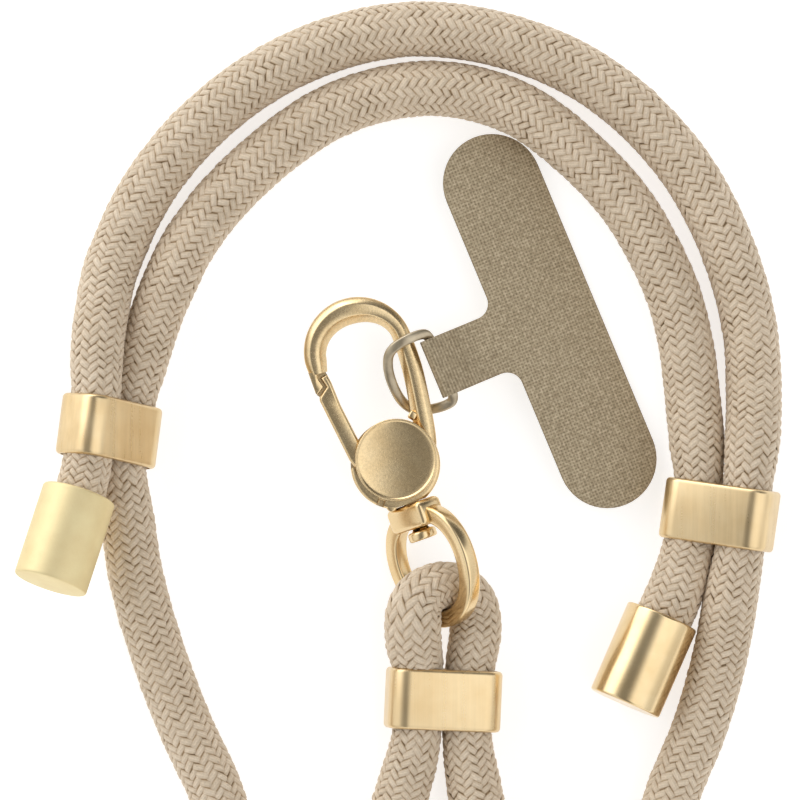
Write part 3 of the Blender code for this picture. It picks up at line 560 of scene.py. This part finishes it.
def swept(path, sections, up, closed=False):
    """Sweeps a ring of vertices along a path by extruding it, each ring shaped to its own section."""
    count = len(path)
    rings = []
    for index, centre in enumerate(path):
        if closed:
            run = path[(index + 1) % count] - path[index - 1]
        else:
            run = path[min(index + 1, count - 1)] - path[max(index - 1, 0)]
        run = Vector(run).normalized()
        side = run.cross(Vector(up)).normalized()
        rise = side.cross(run)
        middle = Vector(centre)
        rings.append([middle + side * x + rise * y for x, y in sections[index]])
    shape = bmesh.new()
    ring = bmesh.ops.create_circle(shape, segments=len(rings[0]), radius=1.0)["verts"]
    for vertex, place in zip(ring, rings[0]):
        vertex.co = place
    start = ring
    for places in rings[1:]:
        ring = extruded_ring(shape, ring)
        for vertex, place in zip(ring, places):
            vertex.co = place
    if closed:
        bmesh.ops.bridge_loops(shape, edges=ring_edges(shape, ring) + ring_edges(shape, start))
    else:
        shape.faces.new(start)
        shape.faces.new(ring)
    return shape


def ring_edges(shape, ring):
    return [shape.edges.get((a, b)) for a, b in zip(ring, ring[1:] + ring[:1])]


def extruded_ring(shape, ring):
    """Extrudes a closed ring of edges and gives the new vertices in the ring's own order."""
    places = {tuple(round(c, 6) for c in vertex.co): index for index, vertex in enumerate(ring)}
    made = bmesh.ops.extrude_edge_only(shape, edges=ring_edges(shape, ring))["geom"]
    fresh = [None] * len(ring)
    for item in made:
        if isinstance(item, bmesh.types.BMVert):
            fresh[places[tuple(round(c, 6) for c in item.co)]] = item
    return fresh


def spun(profile, steps=64):
    """Turns a profile of (radius, height) about local Z and closes it."""
    shape = bmesh.new()
    points = [shape.verts.new((r, 0.0, z)) for r, z in profile]
    edges = [shape.edges.new(pair) for pair in zip(points, points[1:])]
    bmesh.ops.spin(
        shape,
        geom=points + edges,
        cent=(0, 0, 0),
        axis=(0, 0, 1),
        angle=2 * math.pi,
        steps=steps,
        use_merge=True,
    )
    bmesh.ops.remove_doubles(shape, verts=shape.verts, dist=1e-5)
    bmesh.ops.recalc_face_normals(shape, faces=shape.faces)
    return shape


def rounded_profile(corners, radius, steps=4):
    """Rounds each inner corner of an open profile with an arc of the given radius."""
    points = [Vector(p) for p in corners]
    line = [tuple(points[0])]
    for before, corner, after in zip(points, points[1:], points[2:]):
        a = (before - corner).normalized()
        b = (after - corner).normalized()
        reach = min(radius, (before - corner).length / 2.1, (after - corner).length / 2.1)
        for step in range(steps + 1):
            t = step / steps
            point = corner + a * reach * (1 - t) ** 2 + b * reach * t**2
            line.append(tuple(point))
    line.append(tuple(points[-1]))
    return line


def plate(outline, low, high, edge=0.0, segments=3):
    """Extrudes a flat outline of (u, v) from one height to another and bevels its rims."""
    shape = bmesh.new()
    ring = [shape.verts.new((u, v, low)) for u, v in outline]
    face = shape.faces.new(ring)
    top = bmesh.ops.extrude_face_region(shape, geom=[face])["geom"]
    moved = [item for item in top if isinstance(item, bmesh.types.BMVert)]
    bmesh.ops.translate(shape, vec=(0, 0, high - low), verts=moved)
    bmesh.ops.recalc_face_normals(shape, faces=shape.faces)
    if edge:
        rims = [e for e in shape.edges if abs(e.verts[0].co.z - e.verts[1].co.z) < 1e-6]
        bevel(shape, rims, edge, segments)
    return shape


def block(size, middle, edge, segments=4):
    shape = bmesh.new()
    bmesh.ops.create_cube(shape, size=1.0)
    bmesh.ops.scale(shape, vec=size, verts=shape.verts)
    bmesh.ops.translate(shape, vec=middle, verts=shape.verts)
    bevel(shape, shape.edges[:], edge, segments)
    return shape


def joined(*shapes):
    """Puts several bmeshes, drawn in one frame, into one."""
    whole = bmesh.new()
    for shape in shapes:
        mesh = bpy.data.meshes.new("part")
        shape.to_mesh(mesh)
        shape.free()
        whole.from_mesh(mesh)
        bpy.data.meshes.remove(mesh)
    return whole


def cut(shape, cutters):
    """Cuts closed bmeshes out of another with an exact Boolean and gives back the result."""
    keep = []
    for part in (shape, *cutters):
        mesh = bpy.data.meshes.new("part")
        part.to_mesh(mesh)
        part.free()
        thing = bpy.data.objects.new("part", mesh)
        bpy.context.scene.collection.objects.link(thing)
        keep.append(thing)
    for cutter in keep[1:]:
        modifier = keep[0].modifiers.new("cut", "BOOLEAN")
        modifier.operation = "DIFFERENCE"
        modifier.solver = "EXACT"
        modifier.object = cutter
    graph = bpy.context.evaluated_depsgraph_get()
    mesh = bpy.data.meshes.new_from_object(keep[0].evaluated_get(graph))
    result = bmesh.new()
    result.from_mesh(mesh)
    for thing in keep:
        data = thing.data
        bpy.data.objects.remove(thing, do_unlink=True)
        bpy.data.meshes.remove(data)
    bpy.data.meshes.remove(mesh)
    return result


# Rope


def rope_line():
    """Evenly spaced centre line with radius, run length and a frame that doesn't twist."""
    rough = smooth_line(ROPE_ROUTE, ROPE_CURVE_STEPS)
    steps = np.linalg.norm(np.diff(rough[:, :3], axis=0), axis=1)
    run = np.concatenate([[0.0], np.cumsum(steps)])
    even = np.arange(0.0, run[-1], ROPE_STEP)
    rows = np.column_stack([np.interp(even, run, rough[:, column]) for column in range(4)])
    kernel = np.array([1, 2, 3, 2, 1]) / 9
    for column in range(4):
        rows[2:-2, column] = np.convolve(rows[:, column], kernel, mode="valid")
    centre = rows[:, :3]
    ahead = np.gradient(centre, axis=0)
    ahead /= np.linalg.norm(ahead, axis=1)[:, None]
    side = np.zeros_like(ahead)
    side[0] = np.cross(ahead[0], (0, 0, 1))
    side[0] /= np.linalg.norm(side[0])
    for index in range(1, len(ahead)):
        carried = side[index - 1] - ahead[index] * side[index - 1].dot(ahead[index])
        side[index] = carried / np.linalg.norm(carried)
    rise = np.cross(side, ahead)
    return even, centre, side, rise, rows[:, 3], run[-1]


def yarn_grid():
    """One raised yarn as a small pillow of fifteen faces: its grid places, heights and faces."""
    shape = bmesh.new()
    bmesh.ops.create_grid(shape, x_segments=5, y_segments=3, size=1.0)
    shape.verts.ensure_lookup_table()
    places = np.array([tuple(v.co) for v in shape.verts])[:, :2]
    faces = np.array([[v.index for v in f.verts] for f in shape.faces])
    shape.free()
    lengthwise = {-1.0: -1.0, -0.6: -0.74, -0.2: -0.3, 0.2: 0.3, 0.6: 0.74, 1.0: 1.0}
    x = np.array([lengthwise[round(float(v), 1)] for v in places[:, 0]])
    y = np.where(np.abs(places[:, 1]) < 0.9, np.sign(places[:, 1]) * 0.45, places[:, 1])
    end = 1 - np.abs(x) ** YARN_TIP_POWER
    flank = 1 - np.abs(y) ** YARN_FLANK_POWER
    height = YARN_EDGE + (YARN_CROWN - YARN_EDGE) * np.clip(flank * (0.2 + 0.8 * end), 0, 1)
    height = np.where(np.abs(x) > 0.95, YARN_EDGE - YARN_TIP_DROP, height)
    y = y * np.where(np.abs(x) > 0.95, 0.55, np.where(np.abs(x) > 0.7, 0.93, 1.0))
    return x, y, height, faces


def make_core(line, gap):
    """The core under the yarns, as a curve along the rope's line; its dark colour is painted shade for the
    gaps between yarns.
    """
    even, centre, _, _, radius, _ = line
    curve = bpy.data.curves.new("rope_core", "CURVE")
    curve.dimensions = "3D"
    curve.bevel_depth = MM
    curve.bevel_resolution = 4
    curve.use_fill_caps = True
    spline = curve.splines.new("POLY")
    picked = sorted({*range(0, len(even), CORE_POINT_EVERY), len(even) - 1})
    spline.points.add(len(picked) - 1)
    for point, index in zip(spline.points, picked):
        place = TO_ROW @ Vector(centre[index])
        point.co = (*place, 1.0)
        point.radius = radius[index] - CORE_BELOW
    spline.use_smooth = True
    curve.materials.append(gap)
    core = bpy.data.objects.new("rope_core", curve)
    bpy.context.scene.collection.objects.link(core)
    declare(core, "strap", ["braided_rope"])
    return core


def yarn_places(line, grid, row, column, rng):
    """Every vertex of the yarns in these rows and columns, wrapped round the rope, in the row frame."""
    even, centre, side, rise, radius, _ = line
    x, y, height, _ = grid
    count = len(row)
    lean = np.where(column % 2 == 0, 1.0, -1.0)
    row_share = np.where(lean > 0, 0.25, 0.75)
    middle_run = BRAID_START + (row + row_share) * BRAID_ROW + rng.normal(0, STRAY_ALONG, count)
    local_radius = np.interp(middle_run, even, radius)
    slope = math.radians(BRAID_LEAN) * lean + rng.normal(0, STRAY_LEAN, count)
    swell = 1 + rng.normal(0, STRAY_SIZE, count)
    lift = rng.normal(0, STRAY_HEIGHT, count)
    long = x[None, :] * YARN_HALF_LENGTH * swell[:, None]
    wide = y[None, :] * YARN_HALF_WIDTH * swell[:, None]
    run = middle_run[:, None] + long * np.cos(slope)[:, None] - wide * np.sin(slope)[:, None]
    arc = long * np.sin(slope)[:, None] + wide * np.cos(slope)[:, None]
    stray = rng.normal(0, STRAY_ROUND, count)[:, None]
    angle = column[:, None] * (2 * math.pi / BRAID_COLUMNS) + stray + arc / WRAP_RADIUS
    out = local_radius[:, None] + height[None, :] + lift[:, None]
    run, angle, out = run.ravel(), angle.ravel(), out.ravel()
    run = np.clip(run, 0, even[-1])
    spot = np.column_stack([np.interp(run, even, centre[:, c]) for c in range(3)])
    across = np.column_stack([np.interp(run, even, side[:, c]) for c in range(3)])
    above = np.column_stack([np.interp(run, even, rise[:, c]) for c in range(3)])
    spot += out[:, None] * (np.cos(angle)[:, None] * across + np.sin(angle)[:, None] * above)
    to_row = np.array(TO_ROW)
    return spot @ to_row[:3, :3].T + to_row[:3, 3]


def make_braid(name, spot, grid, tones, yarn):
    """One length of braid as one mesh, with each yarn's own tone and a map along and across it."""
    x, y, _, faces = grid
    per = len(x)
    count = len(tones)
    quads = (faces[None, :, :] + (np.arange(count) * per)[:, None, None]).reshape(-1, 4)
    mesh = bpy.data.meshes.new(name)
    mesh.vertices.add(count * per)
    mesh.vertices.foreach_set("co", spot.ravel().astype(np.float32))
    mesh.loops.add(quads.size)
    mesh.loops.foreach_set("vertex_index", quads.ravel().astype(np.int32))
    mesh.polygons.add(len(quads))
    mesh.polygons.foreach_set("loop_start", np.arange(0, quads.size, 4, dtype=np.int32))
    mesh.update(calc_edges=True)
    layer = mesh.uv_layers.new(name="yarn")
    uv = np.column_stack([(x + 1) / 2, (y + 1) / 2])
    uv = np.tile(uv, (count, 1))[quads.ravel()]
    layer.data.foreach_set("uv", uv.ravel().astype(np.float32))
    tone = mesh.attributes.new("tone", "FLOAT", "POINT")
    tone.data.foreach_set("value", np.repeat(tones, per).astype(np.float32))
    mesh.shade_smooth()
    mesh.materials.append(yarn)
    braid = bpy.data.objects.new(name, mesh)
    bpy.context.scene.collection.objects.link(braid)
    declare(braid, "strap", ["braided_rope"])
    return braid


def make_rope(yarn, gap):
    line = rope_line()
    centre, length = line[1], line[-1]
    core = make_core(line, gap)
    grid = yarn_grid()
    rng = np.random.default_rng(7)
    rows = int((length - 2 * BRAID_START) / BRAID_ROW)
    for index in range(BRAID_PIECES):
        first = rows * index // BRAID_PIECES
        last = rows * (index + 1) // BRAID_PIECES
        row, column = np.meshgrid(np.arange(first, last), np.arange(BRAID_COLUMNS), indexing="ij")
        spot = yarn_places(line, grid, row.ravel(), column.ravel(), rng)
        tones = np.clip(rng.normal(0.5, STRAY_TONE, row.size), 0, 1)
        make_braid(f"rope_braid_{index + 1}", spot, grid, tones, yarn)


# Slides and caps


def make_slide(row, material):
    name, node, x, y, z, lean, pitch, roll, width = row
    shape = bmesh.new()
    bmesh.ops.create_cube(shape, size=1.0)
    bmesh.ops.scale(shape, vec=(width, SLIDE_LENGTH, SLIDE_HEIGHT), verts=shape.verts)
    long_edges = [e for e in shape.edges if abs(e.verts[0].co.y - e.verts[1].co.y) > 1]
    bevel(shape, long_edges, SLIDE_CORNER, 12)
    ends = [f for f in shape.faces if abs(f.normal.y) > 0.9]
    bevel(shape, list({e for f in ends for e in f.edges}), SLIDE_RIM, 4)
    half = SLIDE_LENGTH / 2
    ends = [f for f in shape.faces if all(abs(abs(v.co.y) - half) < 1e-4 for v in f.verts)]
    bmesh.ops.inset_individual(shape, faces=ends, thickness=SLIDE_WALL - SLIDE_RIM)
    rims = list({e for f in ends for e in f.edges})
    bmesh.ops.delete(shape, geom=ends, context="FACES_ONLY")
    bmesh.ops.bridge_loops(shape, edges=rims)
    bmesh.ops.recalc_face_normals(shape, faces=shape.faces)
    place = (
        TO_ROW
        @ Matrix.Translation((x, y, z))
        @ Matrix.Rotation(math.radians(lean), 4, "Z")
        @ Matrix.Rotation(math.radians(pitch), 4, "X")
        @ Matrix.Rotation(math.radians(roll), 4, "Y")
    )
    place_piece(name, shape, place, material, "strap", [node])


def make_cap(row, material):
    name, node, mouth, tail = row
    floor, end = CAP_END - CAP_LENGTH, -CAP_LENGTH
    profile = [(0, floor), (CAP_BORE, floor), (CAP_BORE, 0), (CAP_RADIUS, 0), (CAP_RADIUS, end), (0, end)]
    shape = spun(rounded_profile(profile, CAP_ROUNDING), 72)
    axis = (Vector(mouth) - Vector(tail)).normalized()
    turn = Vector((0, 0, 1)).rotation_difference(axis).to_matrix().to_4x4()
    place = TO_ROW @ Matrix.Translation(mouth) @ turn
    place_piece(name, shape, place, material, "strap", [node])


# Snap hook


def bow_rows():
    """u, v, half width and half height of the bow from the nose round to the right bar."""
    rows = [(-6.42, 15.3, 1.3, 1.3), (-6.36, 16.0, 1.45, 1.45)]
    nose_half, top_half, bar_half = 1.6, 1.95, 1.35
    for step in range(1, 26):
        angle = math.pi * (1 - step / 26)
        side = bar_half if math.cos(angle) > 0 else nose_half
        half = side + (top_half - side) * math.sin(angle) ** 2
        reach = BOW_OUTER - half
        u = BOW_CENTRE[0] + reach * math.cos(angle)
        v = BOW_CENTRE[1] + reach * math.sin(angle)
        rows.append((u, v, half, half * 0.94))
    return rows + BOW_BAR


def place_fitting(name, shape, material, node, sharp=32.0):
    """Puts a finished part of the snap hook on the body that its node belongs to."""
    body = "gate" if node == "hook_gate" else "hook"
    return place_piece(name, shape, HOOK, material, body, [node], sharp)


def pin(radius, low, high, rounding, middle):
    """A short rounded pin that stands on the hook at (u, v)."""
    shape = spun(rounded_profile([(0, low), (radius, low), (radius, high), (0, high)], rounding), 24)
    bmesh.ops.translate(shape, vec=(*middle, 0), verts=shape.verts)
    return shape


def leaning_block(size, place, lean, edge, segments):
    """A small block that leans by some degrees about the hook's w axis."""
    shape = block(size, (0, 0, 0), edge, segments)
    turn = Matrix.Rotation(math.radians(lean), 4, "Z")
    bmesh.ops.transform(shape, matrix=Matrix.Translation(place) @ turn, verts=shape.verts)
    return shape


def make_bow(satin, polished):
    rows = smooth_line(bow_rows(), 3)
    path = [np.array((u, v, 0.0)) for u, v, _, _ in rows]
    sections = [[(x * wide, y * high) for x, y in BOW_SECTION] for _, _, wide, high in rows]
    place_fitting("hook_bow", swept(path, sections, (0, 0, 1)), satin, "hook_frame", 50)
    nose = joined(plate(NOSE_TONGUE, -1.15, 1.15, 0.2, 2), plate(NOSE_LEDGE, -1.75, -1.1))
    place_fitting("hook_nose", nose, satin, "hook_frame")
    web = leaning_block(WEB_SIZE, WEB_PLACE, WEB_LEAN, 0.3, 3)
    place_fitting("hook_web", web, polished, "hook_frame")


def make_hub(satin, polished):
    """The hub, flat towards the block, with a pocket for the gate's root and a notch by the lug."""
    low, high = HUB_W
    hub = spun(rounded_profile([(0, low), (HUB_RADIUS, low), (HUB_RADIUS, high), (0, high)], 0.6), 72)
    bmesh.ops.translate(hub, vec=(*HUB_CENTRE, 0), verts=hub.verts)
    flat = block((20, 6, 8), (0, HUB_FLAT_V - 3.0, 0), 0.05, 1)
    pocket = plate(pocket_outline(), POCKET_FLOOR, 3.5)
    notch = leaning_block(NOTCH_SIZE, NOTCH_PLACE, NOTCH_LEAN, 0.1, 1)
    place_fitting("hook_hub", cut(hub, [flat, pocket, notch]), satin, "hook_frame")
    place_fitting("hook_lug", pin(LUG_RADIUS, -1.5, 1.5, 0.3, LUG_CENTRE), polished, "hook_frame")


def make_post(polished):
    """The post that turns in the bail's block, with its wide head below."""
    wide, thick = POST_HEAD
    profile = [(0, 0), (wide, 0), (wide, thick), (POST_RADIUS, 1.5), (POST_RADIUS, POST_TOP), (0, POST_TOP)]
    post = spun(rounded_profile(profile, POST_ROUNDING), 40)
    stand = Matrix.Translation((0, POST_FOOT, 0)) @ Matrix.Rotation(math.radians(-90), 4, "X")
    bmesh.ops.transform(post, matrix=stand, verts=post.verts)
    place_fitting("hook_post", post, polished, "hook_frame")


def make_disc(satin):
    """The round plate: a shallow dished face inside a rolled rim."""
    shares = (0.0, 0.2, 0.4, 0.55, 0.7, 0.82, 0.91)
    face = [(DISC_RADIUS * t, DISC_TOP - DISC_DISH * (1 - t * t)) for t in shares]
    rim = [(-0.36, 2.66), (-0.28, 2.76), (-0.18, 2.82), (-0.08, 2.79), (-0.02, 2.7), (0, 2.56), (0, 2.05)]
    rim += [(-0.05, 1.94), (-0.15, DISC_BACK)]
    disc = spun(face + [(DISC_RADIUS + r, w) for r, w in rim] + [(0.0, DISC_BACK)], 96)
    bmesh.ops.translate(disc, vec=(*DISC_CENTRE, 0), verts=disc.verts)
    place_fitting("hook_disc_plate", disc, satin, "hook_disc", 60)


def make_gate(satin, polished):
    place_fitting("hook_pin", pin(PIN_RADIUS, -1.6, 1.4, 0.1, GATE_PIVOT), polished, "hook_frame")
    lever = plate(gate_outline(), *GATE_W, GATE_ROUNDING, 3)
    place_fitting("hook_gate_lever", lever, satin, "hook_gate")


def pocket_outline():
    """Room in the hub for the gate's root from closed to open."""
    pivot = Vector(GATE_PIVOT)
    lean = math.radians(POCKET_LEAN)
    ahead = Vector((math.sin(lean), math.cos(lean)))
    edge = pivot + POCKET_CLEAR * Vector((ahead.y, -ahead.x))
    points = []
    for step in range(17):
        angle = math.pi + math.pi * step / 16
        points.append(pivot + POCKET_CLEAR * Vector((math.cos(angle), math.sin(angle))))
    points += [edge + 0.6 * ahead, edge + POCKET_REACH * ahead]
    points += [pivot + Vector((-POCKET_REACH, POCKET_REACH)), pivot + Vector((-POCKET_REACH, 1.0))]
    points.append(pivot + Vector((-POCKET_CLEAR, 0.6)))
    return [tuple(p) for p in points]


def gate_outline():
    """The gate's round root, its two long sides and the hooked tip that meets the nose."""
    pivot = Vector(GATE_PIVOT)
    points = []
    for step in range(13):
        angle = math.pi + math.pi * step / 12
        points.append(tuple(pivot + GATE_ROOT * Vector((math.cos(angle), math.sin(angle)))))
    points += [(-3.3, 1.6), (-4.2, 4.3), (-4.95, 10.0), (-5.1, 13.5), (-5.3, 14.85), (-6.4, 14.65)]
    points += [(-5.98, 13.1), (-7.45, 12.05), (-7.6, 11.5), (-6.4, 2.0)]
    return points


# Bail, D-ring and tab


def make_bail(material):
    """The bail's ring with the bored block that it grows out of."""
    loop = BAIL_HALF + [(0.0, BAIL_FAR_V)] + [(-q, v) for q, v in reversed(BAIL_HALF)]
    path = [np.array(p) for p in smooth_line([(q, v, 0.0) for q, v in loop], 6, closed=True)]
    section = soft_section(*BAIL_SECTION, BAIL_SQUARENESS, 28)
    ring = swept(path, [section] * len(path), (0, 0, 1), closed=True)
    body = block(BLOCK_SIZE, (0, BLOCK_V, 0), 0.85)
    bore = spun([(0, -13.0), (BLOCK_BORE, -13.0), (BLOCK_BORE, -5.0), (0, -5.0)], 32)
    upright = Matrix.Rotation(math.radians(-90), 3, "X")
    bmesh.ops.rotate(bore, cent=(0, 0, 0), matrix=upright, verts=bore.verts)
    shape = joined(ring, cut(body, [bore]))
    place_piece("bail_ring", shape, BAIL, material, "strap", ["swivel_bail"], 40)


def make_d_ring(material):
    path = [np.array(p) for p in smooth_line(D_RING, 5, closed=True)]
    section = soft_section(*D_RING_SECTION, D_RING_SQUARENESS, 16)
    ring = swept(path, [section] * len(path), D_RING_UP, closed=True)
    place_piece("d_ring_wire", ring, HOOK, material, "hook", ["d_ring"], 60)


def tab_height(a, b):
    """How the tab falls from the D-ring's bar to the floor, and turns flat on the way."""
    t = min(max(a / TAB_TWIST_REACH, 0.0), 1.0)
    return -TAB_FALL * a + TAB_TWIST * (1 - t * t * (3 - 2 * t)) * b


def tab_outline():
    outline = []
    for side in (1, -1):
        for step in range(25):
            angle = math.pi * step / 24
            a = TAB_HEAD_A - side * TAB_HEAD_RADIUS * math.cos(angle)
            outline.append((a, side * (TAB_HEAD_B + TAB_HEAD_RADIUS * math.sin(angle))))
    arc = []
    for step in range(9):
        angle = math.radians(90 * step / 8)
        a = TAB_STEM_END - TAB_FILLET + TAB_FILLET * math.cos(angle)
        arc.append((a, TAB_STEM_HALF + TAB_FILLET - TAB_FILLET * math.sin(angle)))
    stem = [(0.9, -TAB_STEM_HALF), (0.9, TAB_STEM_HALF)]
    return outline + [(a, -b) for a, b in arc] + stem + arc[::-1]


def tab_fold():
    """The doubled end of the tab, folded round the D-ring's straight bar."""
    half = TAB_HALF_THICK
    nose = [math.pi / 2 + math.pi * step / 16 for step in range(17)]
    outer = [(3.9, half + 0.02), (3.3, 0.72), (2.4, 0.95), (1.2, 1.25)]
    outer += [(1.5 * math.cos(t), 1.5 * math.sin(t)) for t in nose]
    outer += [(1.2, -1.25), (2.4, -0.98), (3.4, -0.85), (3.8, -half)]
    inner = [(0.85 * math.cos(t), 0.85 * math.sin(t)) for t in reversed(nose)]
    under, over = (1.4, -half + 0.02), (1.4, half - 0.02)
    side = TAB_STEM_HALF + 0.01
    fold = plate(outer + [under] + inner + [over], -side, side, 0.1, 2)
    upright = Matrix.Rotation(math.radians(90), 3, "X")
    bmesh.ops.rotate(fold, cent=(0, 0, 0), matrix=upright, verts=fold.verts)
    return fold


def make_tab(material):
    """The tab's flat head and stem, then the folded end, all let down from the bar to the floor."""
    sheet = plate(tab_outline(), -TAB_HALF_THICK, TAB_HALF_THICK, 0.14, 2)
    for a in TAB_BENDS:
        everything = sheet.verts[:] + sheet.edges[:] + sheet.faces[:]
        bmesh.ops.bisect_plane(sheet, geom=everything, dist=1e-6, plane_co=(a, 0, 0), plane_no=(1, 0, 0))
    bmesh.ops.triangulate(sheet, faces=[f for f in sheet.faces if len(f.verts) > 4])
    shape = joined(sheet, tab_fold())
    layer = shape.loops.layers.uv.new("weave")
    for face in shape.faces:
        for loop in face.loops:
            loop[layer].uv = (loop.vert.co.x, loop.vert.co.y)
    rim = shape.verts.layers.float.new("rim")
    for vertex in shape.verts:
        on_edge = any(abs(face.normal.z) < 0.5 for face in vertex.link_faces)
        vertex[rim] = 0.8 if on_edge and vertex.co.x > 1.0 else 0.0
    for vertex in shape.verts:
        vertex.co.z += tab_height(vertex.co.x, vertex.co.y)
    tab = place_piece("woven_tab", shape, TAB, material, "hook", ["fabric_tab"], 40)


# Stage, light and camera


def make_floor():
    shape = bmesh.new()
    bmesh.ops.create_grid(shape, x_segments=1, y_segments=1, size=FLOOR_SIZE)
    mesh = bpy.data.meshes.new("floor")
    shape.to_mesh(mesh)
    shape.free()
    glow = {"Emission_Color": (1, 1, 1, 1), "Emission_Strength": FLOOR_GLOW}
    finish = Finish("pale_floor", Base_Color=FLOOR_GREY, Roughness=0.9, Specular_IOR_Level=0.1, **glow)
    mesh.materials.append(finish.material)
    floor = bpy.data.objects.new("floor", mesh)
    floor.location.z = -FLOOR_DROP
    bpy.context.scene.collection.objects.link(floor)


def dome_fade(tree, value, start, end, low=0.0, high=1.0):
    """Fades softly from low to high as the value goes from start to end."""
    fade = tree.nodes.new("ShaderNodeMapRange")
    fade.interpolation_type = "SMOOTHSTEP"
    for name, level in (("From Min", start), ("From Max", end), ("To Min", low), ("To Max", high)):
        fade.inputs[name].default_value = level
    tree.links.new(value, fade.inputs["Value"])
    return fade.outputs["Result"]


def make_light():
    """A studio dome: one long soft box to the right of straight up, a dark gap beside it, paler walls."""
    world = bpy.data.worlds.new("studio")
    bpy.context.scene.world = world
    world.use_nodes = True
    tree = world.node_tree
    background = tree.nodes["Background"]
    coords = tree.nodes.new("ShaderNodeTexCoord").outputs["Generated"]
    split = tree.nodes.new("ShaderNodeSeparateXYZ")
    tree.links.new(coords, split.inputs[0])
    angle = math_node(tree, "ARCTAN2", split.outputs[0], split.outputs[2])
    place = math_node(tree, "MULTIPLY_ADD", angle, 0.5 / math.pi, 0.5)
    sky = ramp_node(tree, place, [(degrees / 360 + 0.5, value / 2) for degrees, value in DOME])
    slope = math_node(tree, "MULTIPLY_ADD", split.outputs[1], DOME_TOP_LIFT, 1.0)
    for centre, gain in (BRIGHT_CARD, DARK_CARD):
        towards = tree.nodes.new("ShaderNodeVectorMath")
        towards.operation = "DOT_PRODUCT"
        towards.inputs[1].default_value = Vector(centre).normalized()
        tree.links.new(coords, towards.inputs[0])
        card = dome_fade(tree, towards.outputs["Value"], *CARD_EDGE, 1.0, gain)
        slope = math_node(tree, "MULTIPLY", slope, card)
    strength = math_node(tree, "MULTIPLY", slope, 2 * DOME_STRENGTH)

    start, end, level = END_WALLS
    steep = dome_fade(tree, math_node(tree, "ABSOLUTE", split.outputs[1]), start, end)
    walls = tree.nodes.new("ShaderNodeMix")
    walls.data_type = "RGBA"
    walls.inputs[7].default_value = (level / 2, level / 2, level / 2, 1)
    tree.links.new(steep, walls.inputs[0])
    tree.links.new(sky, walls.inputs[6])
    tree.links.new(walls.outputs[2], background.inputs["Color"])
    tree.links.new(strength, background.inputs["Strength"])


def make_camera():
    camera = bpy.data.cameras.new("camera")
    camera.lens = LENS
    camera.sensor_width = SENSOR
    distance = PICTURE_WIDTH * MM * LENS / SENSOR
    camera.clip_end = 20.0
    shot = bpy.data.objects.new("camera", camera)
    middle = TO_ROW @ Vector((0, 0, PICTURE_HEIGHT_Z))
    shot.location = (middle.x, middle.y, middle.z + distance)
    bpy.context.scene.collection.objects.link(shot)
    bpy.context.scene.camera = shot


def main():
    make_camera()
    make_floor()
    make_light()
    bpy.context.scene.view_settings.view_transform = "Standard"
    satin = gold_finish("satin_gold_hook", grain=0.36, rough=0.25, mottle=0.14)
    polished = gold_finish("bright_gold", grain=0.1, rough=0.2)
    # Painted light: the left cap gets a paler, rougher copy of the same gold plating so that it looks
    # brighter
    pale = gold_finish("pale_gold_painted_light", grain=0.08, rough=0.6, tint=GOLD_PALE_LIT, dark=GOLD_PALE_LIT_WARM)
    smooth = gold_finish("smooth_gold", grain=0.12, rough=0.2)
    make_cap(CAPS[0], pale)
    make_cap(CAPS[1], smooth)
    for row in SLIDES:
        name, lean = row[0], row[5]
        turn = math.radians(-lean)
        brushed = gold_finish("brushed_gold_" + name, grain=0.07, rough=0.2, streak=1.0, turn=turn)
        make_slide(row, brushed)
    make_rope(yarn_finish(), core_shade_finish())
    make_bow(satin, polished)
    make_hub(satin, polished)
    make_post(polished)
    make_disc(satin)
    make_gate(satin, polished)
    make_bail(polished)
    make_d_ring(enamel_finish())
    make_tab(woven_finish())


main()
